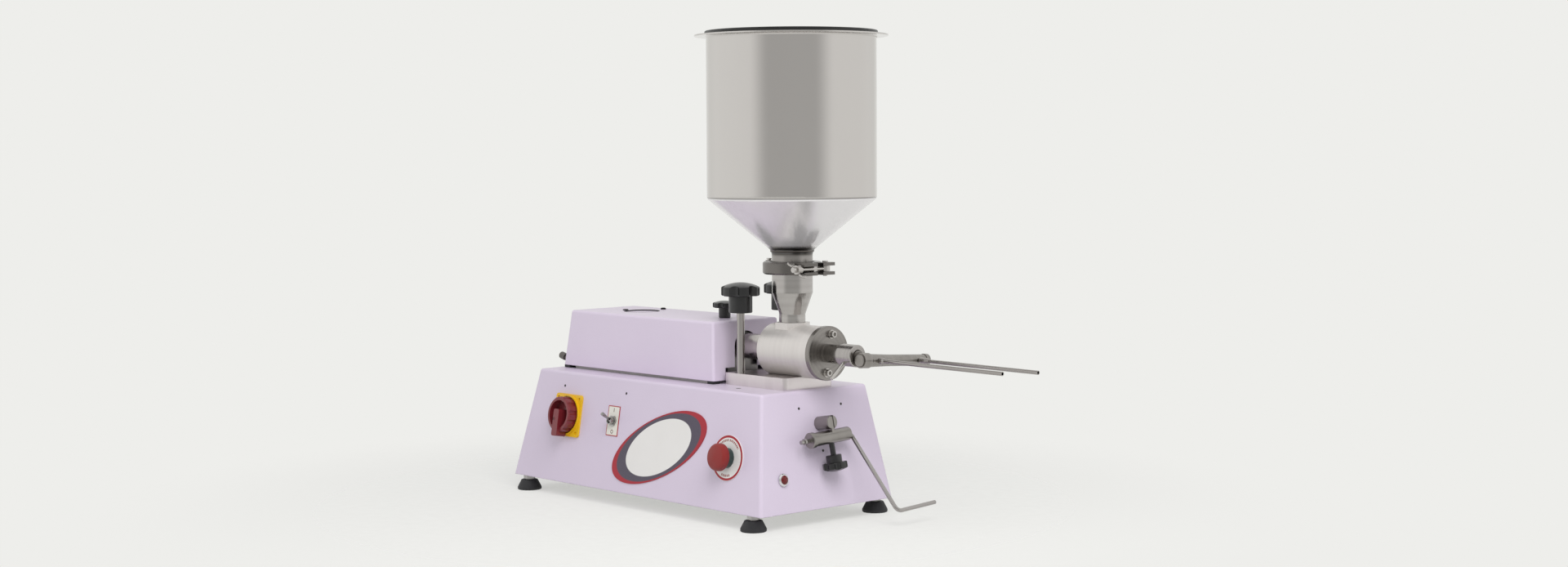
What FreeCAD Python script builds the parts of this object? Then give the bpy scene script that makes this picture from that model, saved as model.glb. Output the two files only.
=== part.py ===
import FreeCAD, Part
import Sketcher
import math
import os

# Twin-needle cream injector. Millimetres. +X towards the needles, +Y away from the control side, +Z up.
# The origin lies under the middle of the base housing, on the bench.

ALONG_X = "rotation(vector(0; 1; 0); 90)"
ALONG_Y = "rotation(vector(1; 0; 0); -90)"
TO_NEAR = "rotation(vector(1; 0; 0); 90)"
DOWN = "rotation(vector(1; 0; 0); 180)"
NO_TURN = "rotation(vector(0; 0; 1); 0)"

doc = FreeCAD.newDocument("injector")
sheet = doc.addObject("Spreadsheet::Sheet", "Sheet")
rows = []
nodes = {}


class Size:
    """A length with its number and the sheet expression that it comes from."""

    def __init__(self, value, text):
        self.value = value
        self.text = text

    def __add__(self, other):
        return Size(self.value + number(other), f"({self.text} + {words(other)})")

    def __radd__(self, other):
        return Size(number(other) + self.value, f"({words(other)} + {self.text})")

    def __sub__(self, other):
        return Size(self.value - number(other), f"({self.text} - {words(other)})")

    def __rsub__(self, other):
        return Size(number(other) - self.value, f"({words(other)} - {self.text})")

    def __mul__(self, other):
        return Size(self.value * number(other), f"({self.text} * {words(other)})")

    def __rmul__(self, other):
        return Size(number(other) * self.value, f"({words(other)} * {self.text})")

    def __truediv__(self, other):
        return Size(self.value / number(other), f"({self.text} / {words(other)})")

    def __neg__(self):
        return Size(-self.value, f"(0 - {self.text})")


def number(size):
    """The plain number of a size."""
    return size.value if isinstance(size, Size) else float(size)


def words(size):
    """The sheet expression of a size."""
    return size.text if isinstance(size, Size) else f"{float(size):.6g}"


def sine(degrees):
    return Size(math.sin(math.radians(number(degrees))), f"sin({words(degrees)})")


def cosine(degrees):
    return Size(math.cos(math.radians(number(degrees))), f"cos({words(degrees)})")


def dim(alias, value):
    """One driving dimension: a row of the sheet and the size that reads it."""
    cell = f"A{len(rows) + 1}"
    rows.append(alias)
    sheet.set(cell, str(value))
    sheet.setAlias(cell, alias)
    return Size(float(value), f"Sheet.{alias}")


# ---- driving dimensions -------------------------------------------------------------------------------------------
running = dim("running_gap", 0.05)
gap = dim("plain_gap", 0.3)
sheet_t = dim("sheet_thick", 2)

base_long = dim("base_length", 594)
base_wide = dim("base_width", 264)
base_low = dim("base_underside", 23)
base_top = dim("base_top_height", 193)
front_lean = dim("front_lean", 28)
rear_lean = dim("rear_lean", 36)
side_lean = dim("side_lean", 28)
fold_r = dim("base_fold_radius", 5)
flange_in = dim("base_return_flange", 28)
nut_r = dim("weld_nut_radius", 12)
nut_h = dim("weld_nut_height", 10)
plate_margin_x = dim("bottom_plate_margin_x", 12)
plate_margin_y = dim("bottom_plate_margin_y", 25)
vent_long = dim("vent_length", 60)
vent_wide = dim("vent_width", 6)
vent_step = dim("vent_pitch", 16)

foot_inset_x = dim("foot_inset_x", 27.5)
foot_inset_y = dim("foot_inset_y", 10.7)
pad_r = dim("foot_pad_radius", 19)
pad_neck = dim("foot_pad_neck_radius", 13)
pad_h = dim("foot_pad_height", 15.5)
pad_lip = dim("foot_pad_lip", 4)
stud_r = dim("foot_stud_radius", 5)
stud_low = dim("foot_stud_bottom", 5)
stud_up = dim("foot_stud_above", 12)
foot_nut_r = dim("foot_nut_radius", 9.2)
foot_inner_nut_r = dim("foot_inner_nut_radius", 7.4)
foot_nut_h = dim("foot_nut_height", 6)

screw_head = dim("panel_screw_head_radius", 1.9)
screw_r = dim("panel_screw_radius", 1.2)
screw_out = dim("panel_screw_head_height", 0.8)
screw_in = dim("panel_screw_length", 6)
top_screw_r = dim("top_screw_head_radius", 4)
plate_screw_r = dim("plate_screw_radius", 2)
plate_screw_head = dim("plate_screw_head_radius", 4)
plate_screw_out = dim("plate_screw_head_height", 2.4)

iso_inset = dim("isolator_from_rear", 124.5)
iso_z = dim("isolator_height", 126.5)
iso_plate = dim("isolator_plate_side", 66)
iso_thick = dim("isolator_plate_thick", 3)
iso_round = dim("isolator_plate_corner", 5)
iso_rim_r = dim("isolator_rim_radius", 31.5)
iso_rim_w = dim("isolator_rim_width", 2)
iso_rim_h = dim("isolator_rim_height", 3)
iso_ring_r = dim("isolator_ring_radius", 28)
iso_ring_in = dim("isolator_ring_floor_radius", 22)
iso_ring_z = dim("isolator_ring_start", 3.6)
iso_ring_h = dim("isolator_ring_height", 17)
iso_grip_low = dim("isolator_grip_below_axis", 34)
iso_grip_up = dim("isolator_grip_above_axis", 8)
iso_grip_r = dim("isolator_grip_corner", 3)
iso_grip_w = dim("isolator_grip_width", 13)
iso_grip_h = dim("isolator_grip_height", 21)
iso_flute_r = dim("isolator_flute_radius", 4)
iso_flutes = dim("isolator_flute_count", 12)
iso_lock_r = dim("isolator_lock_hole_radius", 2.5)
iso_lock_x = dim("isolator_lock_hole_offset", 26.5)
iso_box = dim("isolator_switch_side", 50)
iso_box_d = dim("isolator_switch_depth", 42)
iso_shaft_r = dim("isolator_shaft_radius", 4)

tog_step = dim("toggle_from_isolator", 113.5)
tog_z = dim("toggle_height", 127.5)
tog_plate_w = dim("toggle_plate_width", 28)
tog_plate_h = dim("toggle_plate_height", 46)
tog_plate_t = dim("toggle_plate_thick", 0.8)
tog_bush_r = dim("toggle_bush_radius", 6)
tog_bush_out = dim("toggle_bush_reach", 9)
tog_bore_r = dim("toggle_bush_bore_radius", 4.2)
tog_nut_r = dim("toggle_nut_radius", 8.6)
tog_nut_h = dim("toggle_nut_height", 2.6)
tog_body_w = dim("toggle_body_width", 14)
tog_body_h = dim("toggle_body_height", 28)
tog_body_d = dim("toggle_body_depth", 24)
tog_pivot = dim("toggle_pivot_reach", 5.5)
tog_ball_r = dim("toggle_ball_radius", 3.2)
tog_neck_r = dim("toggle_neck_radius", 1.5)
tog_tip_r = dim("toggle_tip_radius", 3)
tog_length = dim("toggle_lever_length", 22)
tog_angle = dim("toggle_lever_pitch", 28)

name_x = dim("name_plate_x", 55.9)
name_z = dim("name_plate_height", 97.9)
name_long = dim("name_plate_length", 223)
name_wide = dim("name_plate_width", 90)
name_tilt = dim("name_plate_tilt_angle", 23)
name_thick = dim("name_plate_thick", 1.2)

stop_inset = dim("estop_from_front", 84)
stop_z = dim("estop_height", 98.7)
legend_r = dim("estop_legend_radius", 33)
legend_t = dim("estop_legend_thick", 1.2)
collar_r = dim("estop_collar_radius", 14.5)
collar_out = dim("estop_collar_reach", 13.8)
barrel_r = dim("estop_barrel_radius", 11)
barrel_in = dim("estop_barrel_depth", 22)
block_side = dim("estop_block_side", 32)
block_deep = dim("estop_block_depth", 26)
stem_r = dim("estop_stem_radius", 5)
stop_r = dim("estop_head_radius", 20)
stop_low = dim("estop_head_start", 14)
stop_high = dim("estop_head_reach", 27)
stop_travel = dim("estop_travel", 4)
stop_wall = dim("estop_head_wall", 2.4)
stop_dome = dim("estop_head_dome", 1.6)
stop_edge = dim("estop_head_edge_radius", 6)

lamp_y = dim("lamp_y", -82.5)
lamp_z = dim("lamp_height", 70.9)
bezel_r = dim("lamp_bezel_radius", 9.25)
bezel_out = dim("lamp_bezel_reach", 4)
lens_r = dim("lamp_lens_radius", 6.5)
lens_out = dim("lamp_lens_reach", 7)
lamp_barrel_r = dim("lamp_barrel_radius", 8)
lamp_barrel_in = dim("lamp_barrel_depth", 24)

cover_front = dim("cover_front_x", 118.5)
cover_rear_top = dim("cover_rear_top_x", -228.6)
cover_rear_low = dim("cover_rear_low_x", -250)
cover_half = dim("cover_half_width", 65)
cover_low = dim("cover_low_height", 197.5)
cover_above = dim("cover_above_pump_axis", 39)
cover_fold = dim("cover_fold_radius", 4)
cover_t = dim("cover_sheet_thick", 1.6)
arch_r = dim("cover_arch_radius", 22.5)
notch_half = dim("cover_notch_half_width", 41)
notch_top = dim("cover_notch_height", 216)
access_x = dim("access_hole_x", -130)
access_r = dim("access_hole_radius", 29)
blank_over = dim("access_blank_overlap", 6)
pad_side = dim("cover_pad_side", 13)
cover_knob_x = dim("cover_knob_x", 70)
thumb_inset = dim("thumbscrew_from_side", 7)
thumb_z = dim("thumbscrew_height", 207)
thumb_r = dim("thumbscrew_radius", 3)
thumb_head_r = dim("thumbscrew_head_radius", 5.6)
thumb_neck = dim("thumbscrew_neck_length", 6)
thumb_neck_r = dim("thumbscrew_neck_radius", 3.6)
thumb_head = dim("thumbscrew_head_length", 13)
thumb_edge = dim("thumbscrew_edge", 1.4)

frame_rear = dim("frame_rear_x", -224)
frame_front = dim("frame_front_x", 100)
frame_half = dim("frame_half_width", 61)
frame_t = dim("frame_thick", 4)
guide_x = dim("guide_start_x", -45)
guide_end = dim("guide_end_x", 85)
guide_in = dim("guide_inner_half", 20.3)
guide_out = dim("guide_outer_half", 28)
guide_top = dim("guide_top_height", 235)
bearing_x = dim("bearing_block_x", 92)
bearing_half = dim("bearing_block_half_width", 30)
bearing_top = dim("bearing_block_top", 277)
bridge_half = dim("bridge_half_width", 52)
bridge_leg = dim("bridge_leg_width", 6)
bridge_long = dim("bridge_length", 16)
bridge_low = dim("bridge_bar_underside", 266)
bridge_high = dim("bridge_bar_top", 276)

gearbox_rear = dim("gearbox_rear_x", -185)
gearbox_front = dim("gearbox_front_x", -80)
gearbox_half = dim("gearbox_half_width", 45)
gearbox_low = dim("gearbox_underside", 100)
motor_r = dim("motor_radius", 42)
motor_long = dim("motor_length", 150)
motor_z = dim("motor_axis_height", 145)
motor_shaft_r = dim("gear_shaft_radius", 10)
disc_r = dim("crank_disc_radius", 55)
disc_low = dim("crank_disc_underside", 225)
disc_high = dim("crank_disc_top", 237)
disc_hub_r = dim("crank_hub_radius", 20)
disc_hub_low = dim("crank_hub_bottom", 200)
crank_throw = dim("crank_throw", 40)
crank_pin_r = dim("crank_pin_radius", 7)
rod_low = dim("conn_rod_underside", 241)
rod_high = dim("conn_rod_top", 253)
rod_long = dim("conn_rod_length", 150)
rod_eye_r = dim("conn_rod_eye_radius", 14)
rod_half = dim("conn_rod_half_width", 8)
stroke = dim("piston_stroke", 80)
cross_low = dim("crosshead_underside", 212)
cross_high = dim("crosshead_top", 262)
cross_half = dim("crosshead_half_width", 20)
cross_rear = dim("crosshead_rear_reach", 18)
cross_front = dim("crosshead_front_reach", 24)
cross_pin_r = dim("crosshead_pin_radius", 5)
piston_rod_r = dim("piston_rod_radius", 8)
pump_bore = dim("pump_bore_radius", 21.5)
piston_face = dim("piston_face_x", 203)
piston_long = dim("piston_length", 10.5)
seal_w = dim("piston_seal_width", 3)
seal_in = dim("piston_seal_inner_radius", 18.5)

pump_z = dim("pump_axis_height", 247)
pump_plate_rear = dim("pump_plate_rear_x", 128)
pump_plate_front = dim("pump_plate_front_x", 257)
pump_plate_half = dim("pump_plate_half_width", 49)
pump_plate_top = dim("pump_plate_top", 211)
pump_plate_r = dim("pump_plate_corner_radius", 8)
pump_r = dim("pump_cylinder_radius", 38.5)
pump_rear = dim("pump_cylinder_rear_x", 184)
pump_front = dim("pump_cylinder_front_x", 289.5)
pump_chamfer = dim("pump_cylinder_chamfer", 1.5)
inlet_x = dim("inlet_x", 221.7)
inlet_r = dim("inlet_hexagon_radius", 26)
inlet_top = dim("inlet_boss_top", 288)
inlet_bore = dim("inlet_bore_radius", 16)
tube_r = dim("barrel_tube_radius", 19)
tube_bore = dim("barrel_tube_bore_radius", 12)
tube_rear = dim("barrel_tube_rear_x", 100)
tube_seat = dim("barrel_tube_seat_depth", 8)
end_r = dim("front_flange_radius", 39.5)
end_x = dim("front_flange_face_x", 298.5)
neck_r = dim("neck_radius", 13.5)
neck_x = dim("neck_end_x", 327)
nose_r = dim("nose_radius", 11)
nose_x = dim("nose_end_x", 348)
duct_r = dim("outlet_duct_radius", 6)
bolt_circle = dim("flange_bolt_circle_radius", 28)
bolt_r = dim("flange_bolt_radius", 3)
bolt_head_r = dim("flange_bolt_head_radius", 5)
bolt_head_h = dim("flange_bolt_head_height", 6)
bolt_deep = dim("flange_bolt_depth", 14)
washer_r = dim("flange_washer_radius", 6.4)
washer_t = dim("flange_washer_thick", 1.5)
hex_r = dim("flange_bolt_socket_radius", 2.9)
hex_deep = dim("flange_bolt_socket_depth", 3)
bolt_turn = dim("flange_bolt_turn", 10)

lock_r = dim("lock_collar_radius", 16)
lock_end = dim("lock_collar_face_x", 358)
lock_wall = dim("lock_collar_wall", 7)
lock_edge = dim("lock_collar_chamfer", 1)
spigot_r = dim("manifold_spigot_radius", 8)
tommy_x = dim("tommy_bar_x", 341)
tommy_r = dim("tommy_bar_radius", 2.5)
tommy_start = dim("tommy_bar_start", 13)
tommy_end = dim("tommy_bar_reach", 48)
tommy_angle = dim("tommy_bar_angle", 41)

mani_x = dim("manifold_axis_x", 369)
mani_drop = dim("manifold_axis_drop", 5.5)
mani_droop = dim("manifold_droop", 3.6)
mani_near = dim("manifold_near_y", -6)
mani_hub_y = dim("manifold_hub_y", 9)
mani_step_y = dim("manifold_step_y", 12)
mani_even_y = dim("manifold_even_y", 50)
mani_far = dim("manifold_far_y", 122)
mani_hub_r = dim("manifold_hub_radius", 11)
mani_mid_r = dim("manifold_mid_radius", 9.5)
mani_r = dim("manifold_radius", 8.4)
mani_bore = dim("manifold_bore_radius", 5.5)
cap_r = dim("manifold_cap_radius", 9.2)
cap_long = dim("manifold_cap_length", 8)
near_cap_l = dim("manifold_near_cap_length", 3)
cap_plug = dim("manifold_cap_plug", 5)
needle_r = dim("needle_radius", 2.9)
needle_bore = dim("needle_bore_radius", 2)
needle_near_y = dim("needle_near_y", 25)
needle_far_y = dim("needle_far_y", 107)
needle_near_end = dim("needle_near_tip_x", 610)
needle_far_end = dim("needle_far_tip_x", 602)
needle_bevel = dim("needle_bevel_length", 18)
needle_hub_r = dim("needle_hub_radius", 4.6)
needle_hub_l = dim("needle_hub_length", 9)
needle_sag = dim("needle_sag", 0.35)

hopper_r = dim("hopper_radius", 124)
hopper_low = dim("hopper_cone_top", 470.5)
hopper_top = dim("hopper_rim_height", 706)
hopper_t = dim("hopper_sheet_thick", 2)
rim_r = dim("hopper_rim_radius", 141)
rim_lip = dim("hopper_rim_lip", 4)
lid_r = dim("hopper_lid_radius", 126)
lid_edge = dim("hopper_lid_edge_height", 5.8)
lid_t = dim("hopper_lid_sheet", 2)
lid_ring_w = dim("hopper_lid_ring_width", 7)
lid_grip = dim("hopper_lid_ring_overlap", 3)
throat_z = dim("hopper_throat_height", 392)
throat_r = dim("hopper_throat_radius", 30)
throat_low = dim("hopper_throat_low", 372)
ferrule_r = dim("ferrule_radius", 38)
ferrule_t = dim("ferrule_thick", 3)
ferrule_neck = dim("ferrule_taper", 2.4)
gasket_t = dim("gasket_thick", 2)
clamp_mid = dim("tri_clamp_mid_height", 368)
clamp_r = dim("tri_clamp_radius", 43.3)
clamp_h = dim("tri_clamp_height", 18)
clamp_in = dim("tri_clamp_inner_radius", 33)
clamp_split = dim("tri_clamp_split", 1.2)
hinge_x = dim("tri_clamp_hinge_offset", 50)
hinge_r = dim("tri_clamp_hinge_radius", 5.5)
close_x = dim("tri_clamp_bolt_offset", 52)
ear_half = dim("tri_clamp_ear_half_height", 9)
ear_gap = dim("tri_clamp_ear_slot", 8.6)
swing_y = dim("tri_clamp_swing_pin_y", 17)
swing_r = dim("tri_clamp_swing_pin_radius", 3)
swing_bolt_r = dim("tri_clamp_bolt_radius", 4)
eye_r = dim("tri_clamp_bolt_eye_radius", 7)
eye_half = dim("tri_clamp_bolt_eye_half_height", 3.4)
swing_end = dim("tri_clamp_bolt_end_y", -47)
nut_face = dim("wing_nut_face_y", -33)
wing_hub_r = dim("wing_nut_hub_radius", 6.5)
wing_hub_l = dim("wing_nut_hub_length", 8)
wing_span = dim("wing_nut_half_span", 20)
wing_r = dim("wing_nut_wing_radius", 6)
wing_t = dim("wing_nut_wing_half_thick", 1.6)
wing_turn = dim("wing_nut_turn", 32)

red_tube_low = dim("reducer_cone_top", 331.6)
red_cone_low = dim("reducer_cone_low", 300)
red_r = dim("reducer_low_radius", 19)
red_seat = dim("reducer_seat_depth", 10)

rod_x = dim("clamp_rod_x", 154.8)
rod_y = dim("clamp_rod_y", 42.3)
rod_r = dim("clamp_rod_radius", 6)
knob_low = dim("clamp_knob_low", 300.6)
knob_boss_r = dim("clamp_knob_boss_radius", 17.5)
knob_boss_h = dim("clamp_knob_boss_height", 24.9)
knob_r = dim("clamp_knob_radius", 28.5)
knob_side = dim("clamp_knob_side_height", 13)
knob_dome = dim("clamp_knob_dome_height", 7)
knob_scallop = dim("clamp_knob_scallop_radius", 9)
knob_lobes = dim("clamp_knob_lobe_count", 6)
knob_edge = dim("clamp_knob_edge_radius", 2.4)

ck_r = dim("cover_knob_radius", 18)
ck_boss_r = dim("cover_knob_boss_radius", 9)
ck_boss_h = dim("cover_knob_boss_height", 15.5)
ck_side = dim("cover_knob_side_height", 7)
ck_dome = dim("cover_knob_dome_height", 3.5)
ck_scallop = dim("cover_knob_scallop_radius", 5.5)
ck_edge = dim("cover_knob_edge_radius", 1.6)
ck_screw_r = dim("cover_knob_screw_radius", 4)

trip_z = dim("trip_height", 143.9)
trip_turn = dim("trip_turn", 3.2)
trip_r = dim("trip_stub_radius", 10)
trip_long = dim("trip_stub_length", 29)
trip_pin_r = dim("trip_shaft_radius", 6)
trip_slot = dim("trip_slot_width", 5)
trip_slot_deep = dim("trip_slot_depth", 14)
trip_cross_z = dim("trip_cross_reach", 20)
trip_cross_drop = dim("trip_cross_drop", 21)
trip_cross_half = dim("trip_cross_half_length", 35)
trip_ring_r = dim("trip_ring_nut_radius", 11.5)
trip_ring_l = dim("trip_ring_nut_length", 7)
trip_rod_r = dim("trip_rod_radius", 3)
trip_rod_start = dim("trip_rod_start", 59)
trip_collar_r = dim("trip_rod_collar_radius", 4.6)
trip_elbow = dim("trip_rod_elbow_reach", 39.6)
trip_leg = dim("trip_rod_leg", 138.8)
trip_bar = dim("trip_rod_bar", 77.5)
trip_bend = dim("trip_rod_bend_radius", 8)
trip_pitch = dim("trip_rod_pitch", 31.3)
trip_mouth = dim("trip_clamp_mouth", 1.6)
trip_tip_w = dim("trip_rod_collar_width", 3)
trip_tip_x = dim("trip_rod_collar_inset", 6)
tk_stem_r = dim("trip_knob_stem_radius", 4)
tk_head = dim("trip_knob_head_drop", 42)
tk_r = dim("trip_knob_radius", 18)
tk_side = dim("trip_knob_side_height", 9)
tk_dome = dim("trip_knob_dome_height", 4)
tk_boss_r = dim("trip_knob_boss_radius", 11.5)
tk_boss_h = dim("trip_knob_boss_height", 11)
tk_scallop = dim("trip_knob_scallop_radius", 5.5)
trip_box_w = dim("trip_switch_width", 56)
trip_box_h = dim("trip_switch_height", 40)
trip_box_d = dim("trip_switch_depth", 34)
doc.recompute()

panel_rise = base_top - base_low
foot_x = base_long / 2 - foot_inset_x
foot_y = base_wide / 2 - foot_inset_y
iso_x = iso_inset - base_long / 2
tog_x = iso_x + tog_step
stop_x = base_long / 2 - stop_inset
cover_top = pump_z + cover_above


def lean(amount):
    """The lean of a panel as an expression in degrees."""
    return f"atan({words(amount)} / {words(panel_rise)})"


def side_y(z):
    """Y of the control-side panel at a height."""
    return (z - base_low) * side_lean / panel_rise - base_wide / 2


def front_x(z):
    """X of the front panel at a height."""
    return base_long / 2 - (z - base_low) * front_lean / panel_rise


def spot(x=0, y=0, z=0, turn=NO_TURN):
    """A placement expression."""
    return f"placement(vector({words(x)}; {words(y)}; {words(z)}); {turn})"


def on_side(x, z, out=0, turn=NO_TURN):
    """On the control-side panel: local z points out of the panel and local y up along it."""
    face = f"rotation(vector(1; 0; 0); 90 deg - {lean(side_lean)})"
    return f"{spot(x, side_y(z), z, face)} * {spot(0, 0, out, turn)}"


def on_front(y, z, out=0, turn=NO_TURN):
    """On the front panel: local x is +Y, local y is up along the panel, local z points out."""
    face = f"rotation(vector(0; 1; 0); -{lean(front_lean)}) * rotation(vector(1; 1; 1); 120)"
    return f"{spot(front_x(z), y, z, face)} * {spot(0, 0, out, turn)}"


def on_trip(x=0, y=0, z=0, turn=NO_TURN):
    """In the frame of the trip lever, which is turned a little about the normal of the front panel."""
    own = f"rotation(vector(0; 0; 1); {words(trip_turn)})"
    return f"{on_front(0, trip_z, 0, own)} * {spot(x, y, z, turn)}"


def add(kind, **sizes):
    """A document object with its sizes bound to the sheet."""
    item = doc.addObject(kind, kind.split("::")[1])
    at = sizes.pop("at", None)
    for name, size in sizes.items():
        if isinstance(size, Size):
            item.setExpression(name, size.text)
        else:
            setattr(item, name, size)
    if at:
        item.setExpression("Placement", at)
    return item


def block(low, high, at=None):
    """A box between two corners, in a frame of its own when one is given."""
    corner = spot(*low)
    sides = dict(zip(("Length", "Width", "Height"), (b - a for a, b in zip(low, high))))
    sides = {name: side if isinstance(side, Size) else float(side) for name, side in sides.items()}
    return add("Part::Box", at=f"{at} * {corner}" if at else corner, **sides)


def rod(radius, length, at):
    return add("Part::Cylinder", Radius=radius, Height=length, at=at)


def hexagon(radius, length, at):
    return add("Part::Prism", Polygon=6, Circumradius=radius, Height=length, at=at)


def cut(base, *tools):
    tool = tools[0] if len(tools) == 1 else join(*tools)
    return add("Part::Cut", Base=base, Tool=tool)


def join(*items):
    return add("Part::MultiFuse", Shapes=list(items), Refine=True)


def group(*items):
    """Separate solids kept together under one name."""
    return add("Part::Compound", Links=list(items))


def node(name, item):
    """The finished piece under its own name."""
    item.Label = name
    nodes[name] = item
    return item


def plane_of(body, role):
    return [f for f in body.Origin.OriginFeatures if f.Role == role][0]


def outline(body, points, role="XZ_Plane"):
    """A closed sketch through the points. A point with a third value ends an arc of that radius: positive arcs bulge
    to the right of the way round, negative ones to the left."""
    sketch = body.newObject("Sketcher::SketchObject", "outline")
    sketch.AttachmentSupport = [(plane_of(body, role), "")]
    sketch.MapMode = "FlatFace"
    count = len(points)
    flat = [FreeCAD.Vector(number(p[0]), number(p[1]), 0) for p in points]
    starts = []
    ends = []
    for i in range(count):
        a = flat[i]
        b = flat[(i + 1) % count]
        bulge = points[(i + 1) % count][2:]
        if not bulge:
            sketch.addGeometry(Part.LineSegment(a, b), False)
            starts.append((i, 1))
            ends.append((i, 2))
            continue
        radius = abs(number(bulge[0]))
        left = number(bulge[0]) > 0
        chord = b - a
        side = FreeCAD.Vector(-chord.y, chord.x, 0).normalize() * (1 if left else -1)
        rise = math.sqrt(max(radius ** 2 - (chord.Length / 2) ** 2, 0))
        centre = (a + b) / 2 + side * rise
        first, last = (a, b) if left else (b, a)
        angles = [math.atan2(p.y - centre.y, p.x - centre.x) for p in (first, last)]
        circle = Part.Circle(centre, FreeCAD.Vector(0, 0, 1), radius)
        sketch.addGeometry(Part.ArcOfCircle(circle, *angles), False)
        starts.append((i, 1 if left else 2))
        ends.append((i, 2 if left else 1))
        key = sketch.addConstraint(sketch_rule("Radius", i, radius))
        sketch.setExpression(f"Constraints[{key}]", words(abs_size(bulge[0])))
    for i in range(count):
        sketch.addConstraint(sketch_rule("Coincident", *ends[i], *starts[(i + 1) % count]))
        for axis, part, along in (("DistanceX", flat[i].x, points[i][0]), ("DistanceY", flat[i].y, points[i][1])):
            key = sketch.addConstraint(sketch_rule(axis, -1, 1, *starts[i], part))
            sketch.setExpression(f"Constraints[{key}]", words(along))
    return sketch


def crown(radius, rise):
    """The radius of a dome that closes on the axis, from its rim's radius and its rise."""
    return (radius * radius + rise * rise) / (rise * 2)


def abs_size(size):
    return -size if number(size) < 0 else size


def sketch_rule(*terms):
    return Sketcher.Constraint(*terms)


def turned(points, at=None):
    """A body of revolution about its own Z from (radius, height) points."""
    body = doc.addObject("PartDesign::Body", "turned")
    sketch = outline(body, points)
    turn = body.newObject("PartDesign::Revolution", "turn")
    turn.Profile = sketch
    turn.ReferenceAxis = (sketch, ["V_Axis"])
    turn.Angle = 360
    sketch.Visibility = False
    if at:
        body.setExpression("Placement", at)
    return body


def plate(points, thick, at=None):
    """A flat body padded up from an outline."""
    body = doc.addObject("PartDesign::Body", "plate")
    sketch = outline(body, points, "XY_Plane")
    pad = body.newObject("PartDesign::Pad", "pad")
    pad.Profile = sketch
    pad.setExpression("Length", words(thick))
    sketch.Visibility = False
    if at:
        body.setExpression("Placement", at)
    return body


def round_edges(body, radius, wanted):
    """Fillets the edges of a body's tip that a test picks."""
    doc.recompute()
    tip = body.Tip
    names = [f"Edge{i + 1}" for i, e in enumerate(tip.Shape.Edges) if wanted(e)]
    fillet = body.newObject("PartDesign::Fillet", "rounding")
    fillet.Base = (tip, names)
    fillet.setExpression("Radius", words(radius))
    return body


def star_knob(points, head_r, head_low, head_high, scallop, lobes, edge, at):
    """A lobed knob: a turned blank whose rim is scalloped by a patterned pocket, then rounded all along the lobes."""
    body = turned(points, at)
    sketch = body.newObject("Sketcher::SketchObject", "scallop")
    sketch.AttachmentSupport = [(plane_of(body, "XY_Plane"), "")]
    sketch.MapMode = "FlatFace"
    out = head_r + scallop * 0.42
    middle = FreeCAD.Vector(number(out), 0, 0)
    sketch.addGeometry(Part.Circle(middle, FreeCAD.Vector(0, 0, 1), number(scallop)), False)
    for terms, size in ((("Radius", 0, number(scallop)), scallop),
                        (("DistanceX", -1, 1, 0, 3, number(out)), out),
                        (("DistanceY", -1, 1, 0, 3, 0), Size(0, "0"))):
        key = sketch.addConstraint(sketch_rule(*terms))
        sketch.setExpression(f"Constraints[{key}]", words(size))
    pocket = body.newObject("PartDesign::Pocket", "scallop_cut")
    pocket.Profile = sketch
    pocket.Type = "ThroughAll"
    pocket.Midplane = True
    pattern = body.newObject("PartDesign::PolarPattern", "lobes")
    pattern.Originals = [pocket]
    pattern.Axis = (sketch, ["N_Axis"])
    pattern.Angle = 360
    pattern.setExpression("Occurrences", words(lobes))
    body.Tip = pattern
    sketch.Visibility = False
    low = number(head_low)
    high = number(head_high)

    def rim(e):
        box = e.BoundBox
        flat = box.ZLength < 0.01
        near = abs(box.ZMin - low) < 0.01 or abs(box.ZMin - high) < 0.01
        reach = max(math.hypot(v.X, v.Y) for v in e.Vertexes)
        return flat and near and reach > number(head_r) * 0.7

    return round_edges(body, edge, rim)


# ---- base housing -------------------------------------------------------------------------------------------------
STANDING = f"placement(vector(0; 0; 0); {TO_NEAR})"


def frustum(inset, low, high):
    """The leaning box of the housing between two heights, all walls moved in by an inset."""
    def at_height(z):
        share = (z - base_low) / panel_rise
        rear = inset - base_long / 2 + rear_lean * share
        front = base_long / 2 - inset - front_lean * share
        half = base_wide / 2 - inset - side_lean * share
        return rear, front, half
    rear, front, half = at_height(low)
    rear2, front2, half2 = at_height(high)
    return add("Part::Wedge", Xmin=rear, Xmax=front, Ymin=low, Ymax=high, Zmin=-half, Zmax=half,
               X2min=rear2, X2max=front2, Z2min=-half2, Z2max=half2, at=STANDING)


def rounded_housing():
    """The outer body of the housing with its folds rounded."""
    body = doc.addObject("PartDesign::Body", "shell")
    wedge = body.newObject("PartDesign::AdditiveWedge", "leaning_box")
    sizes = {"Xmin": -base_long / 2, "Xmax": base_long / 2, "Ymin": base_low, "Ymax": base_top,
             "Zmin": -base_wide / 2, "Zmax": base_wide / 2,
             "X2min": rear_lean - base_long / 2, "X2max": base_long / 2 - front_lean,
             "Z2min": side_lean - base_wide / 2, "Z2max": base_wide / 2 - side_lean}
    for name, size in sizes.items():
        wedge.setExpression(name, words(size))
    doc.recompute()
    top = number(base_top)
    round_edges(body, fold_r, lambda e: e.BoundBox.YMax > top - 0.01)
    body.setExpression("Placement", STANDING)
    return body


hollow = frustum(sheet_t, base_low + sheet_t, base_top - sheet_t)
inner_long = base_long / 2 - sheet_t - flange_in
inner_wide = base_wide / 2 - sheet_t - flange_in
mouth = block((-inner_long, -inner_wide, base_low - sheet_t), (inner_long, inner_wide, base_low + sheet_t * 2))
weld_nuts = [rod(nut_r, nut_h, spot(rod_x, side * rod_y, base_top - sheet_t - nut_h)) for side in (-1, 1)]
shell = join(cut(rounded_housing(), hollow, mouth), *weld_nuts)

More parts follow.
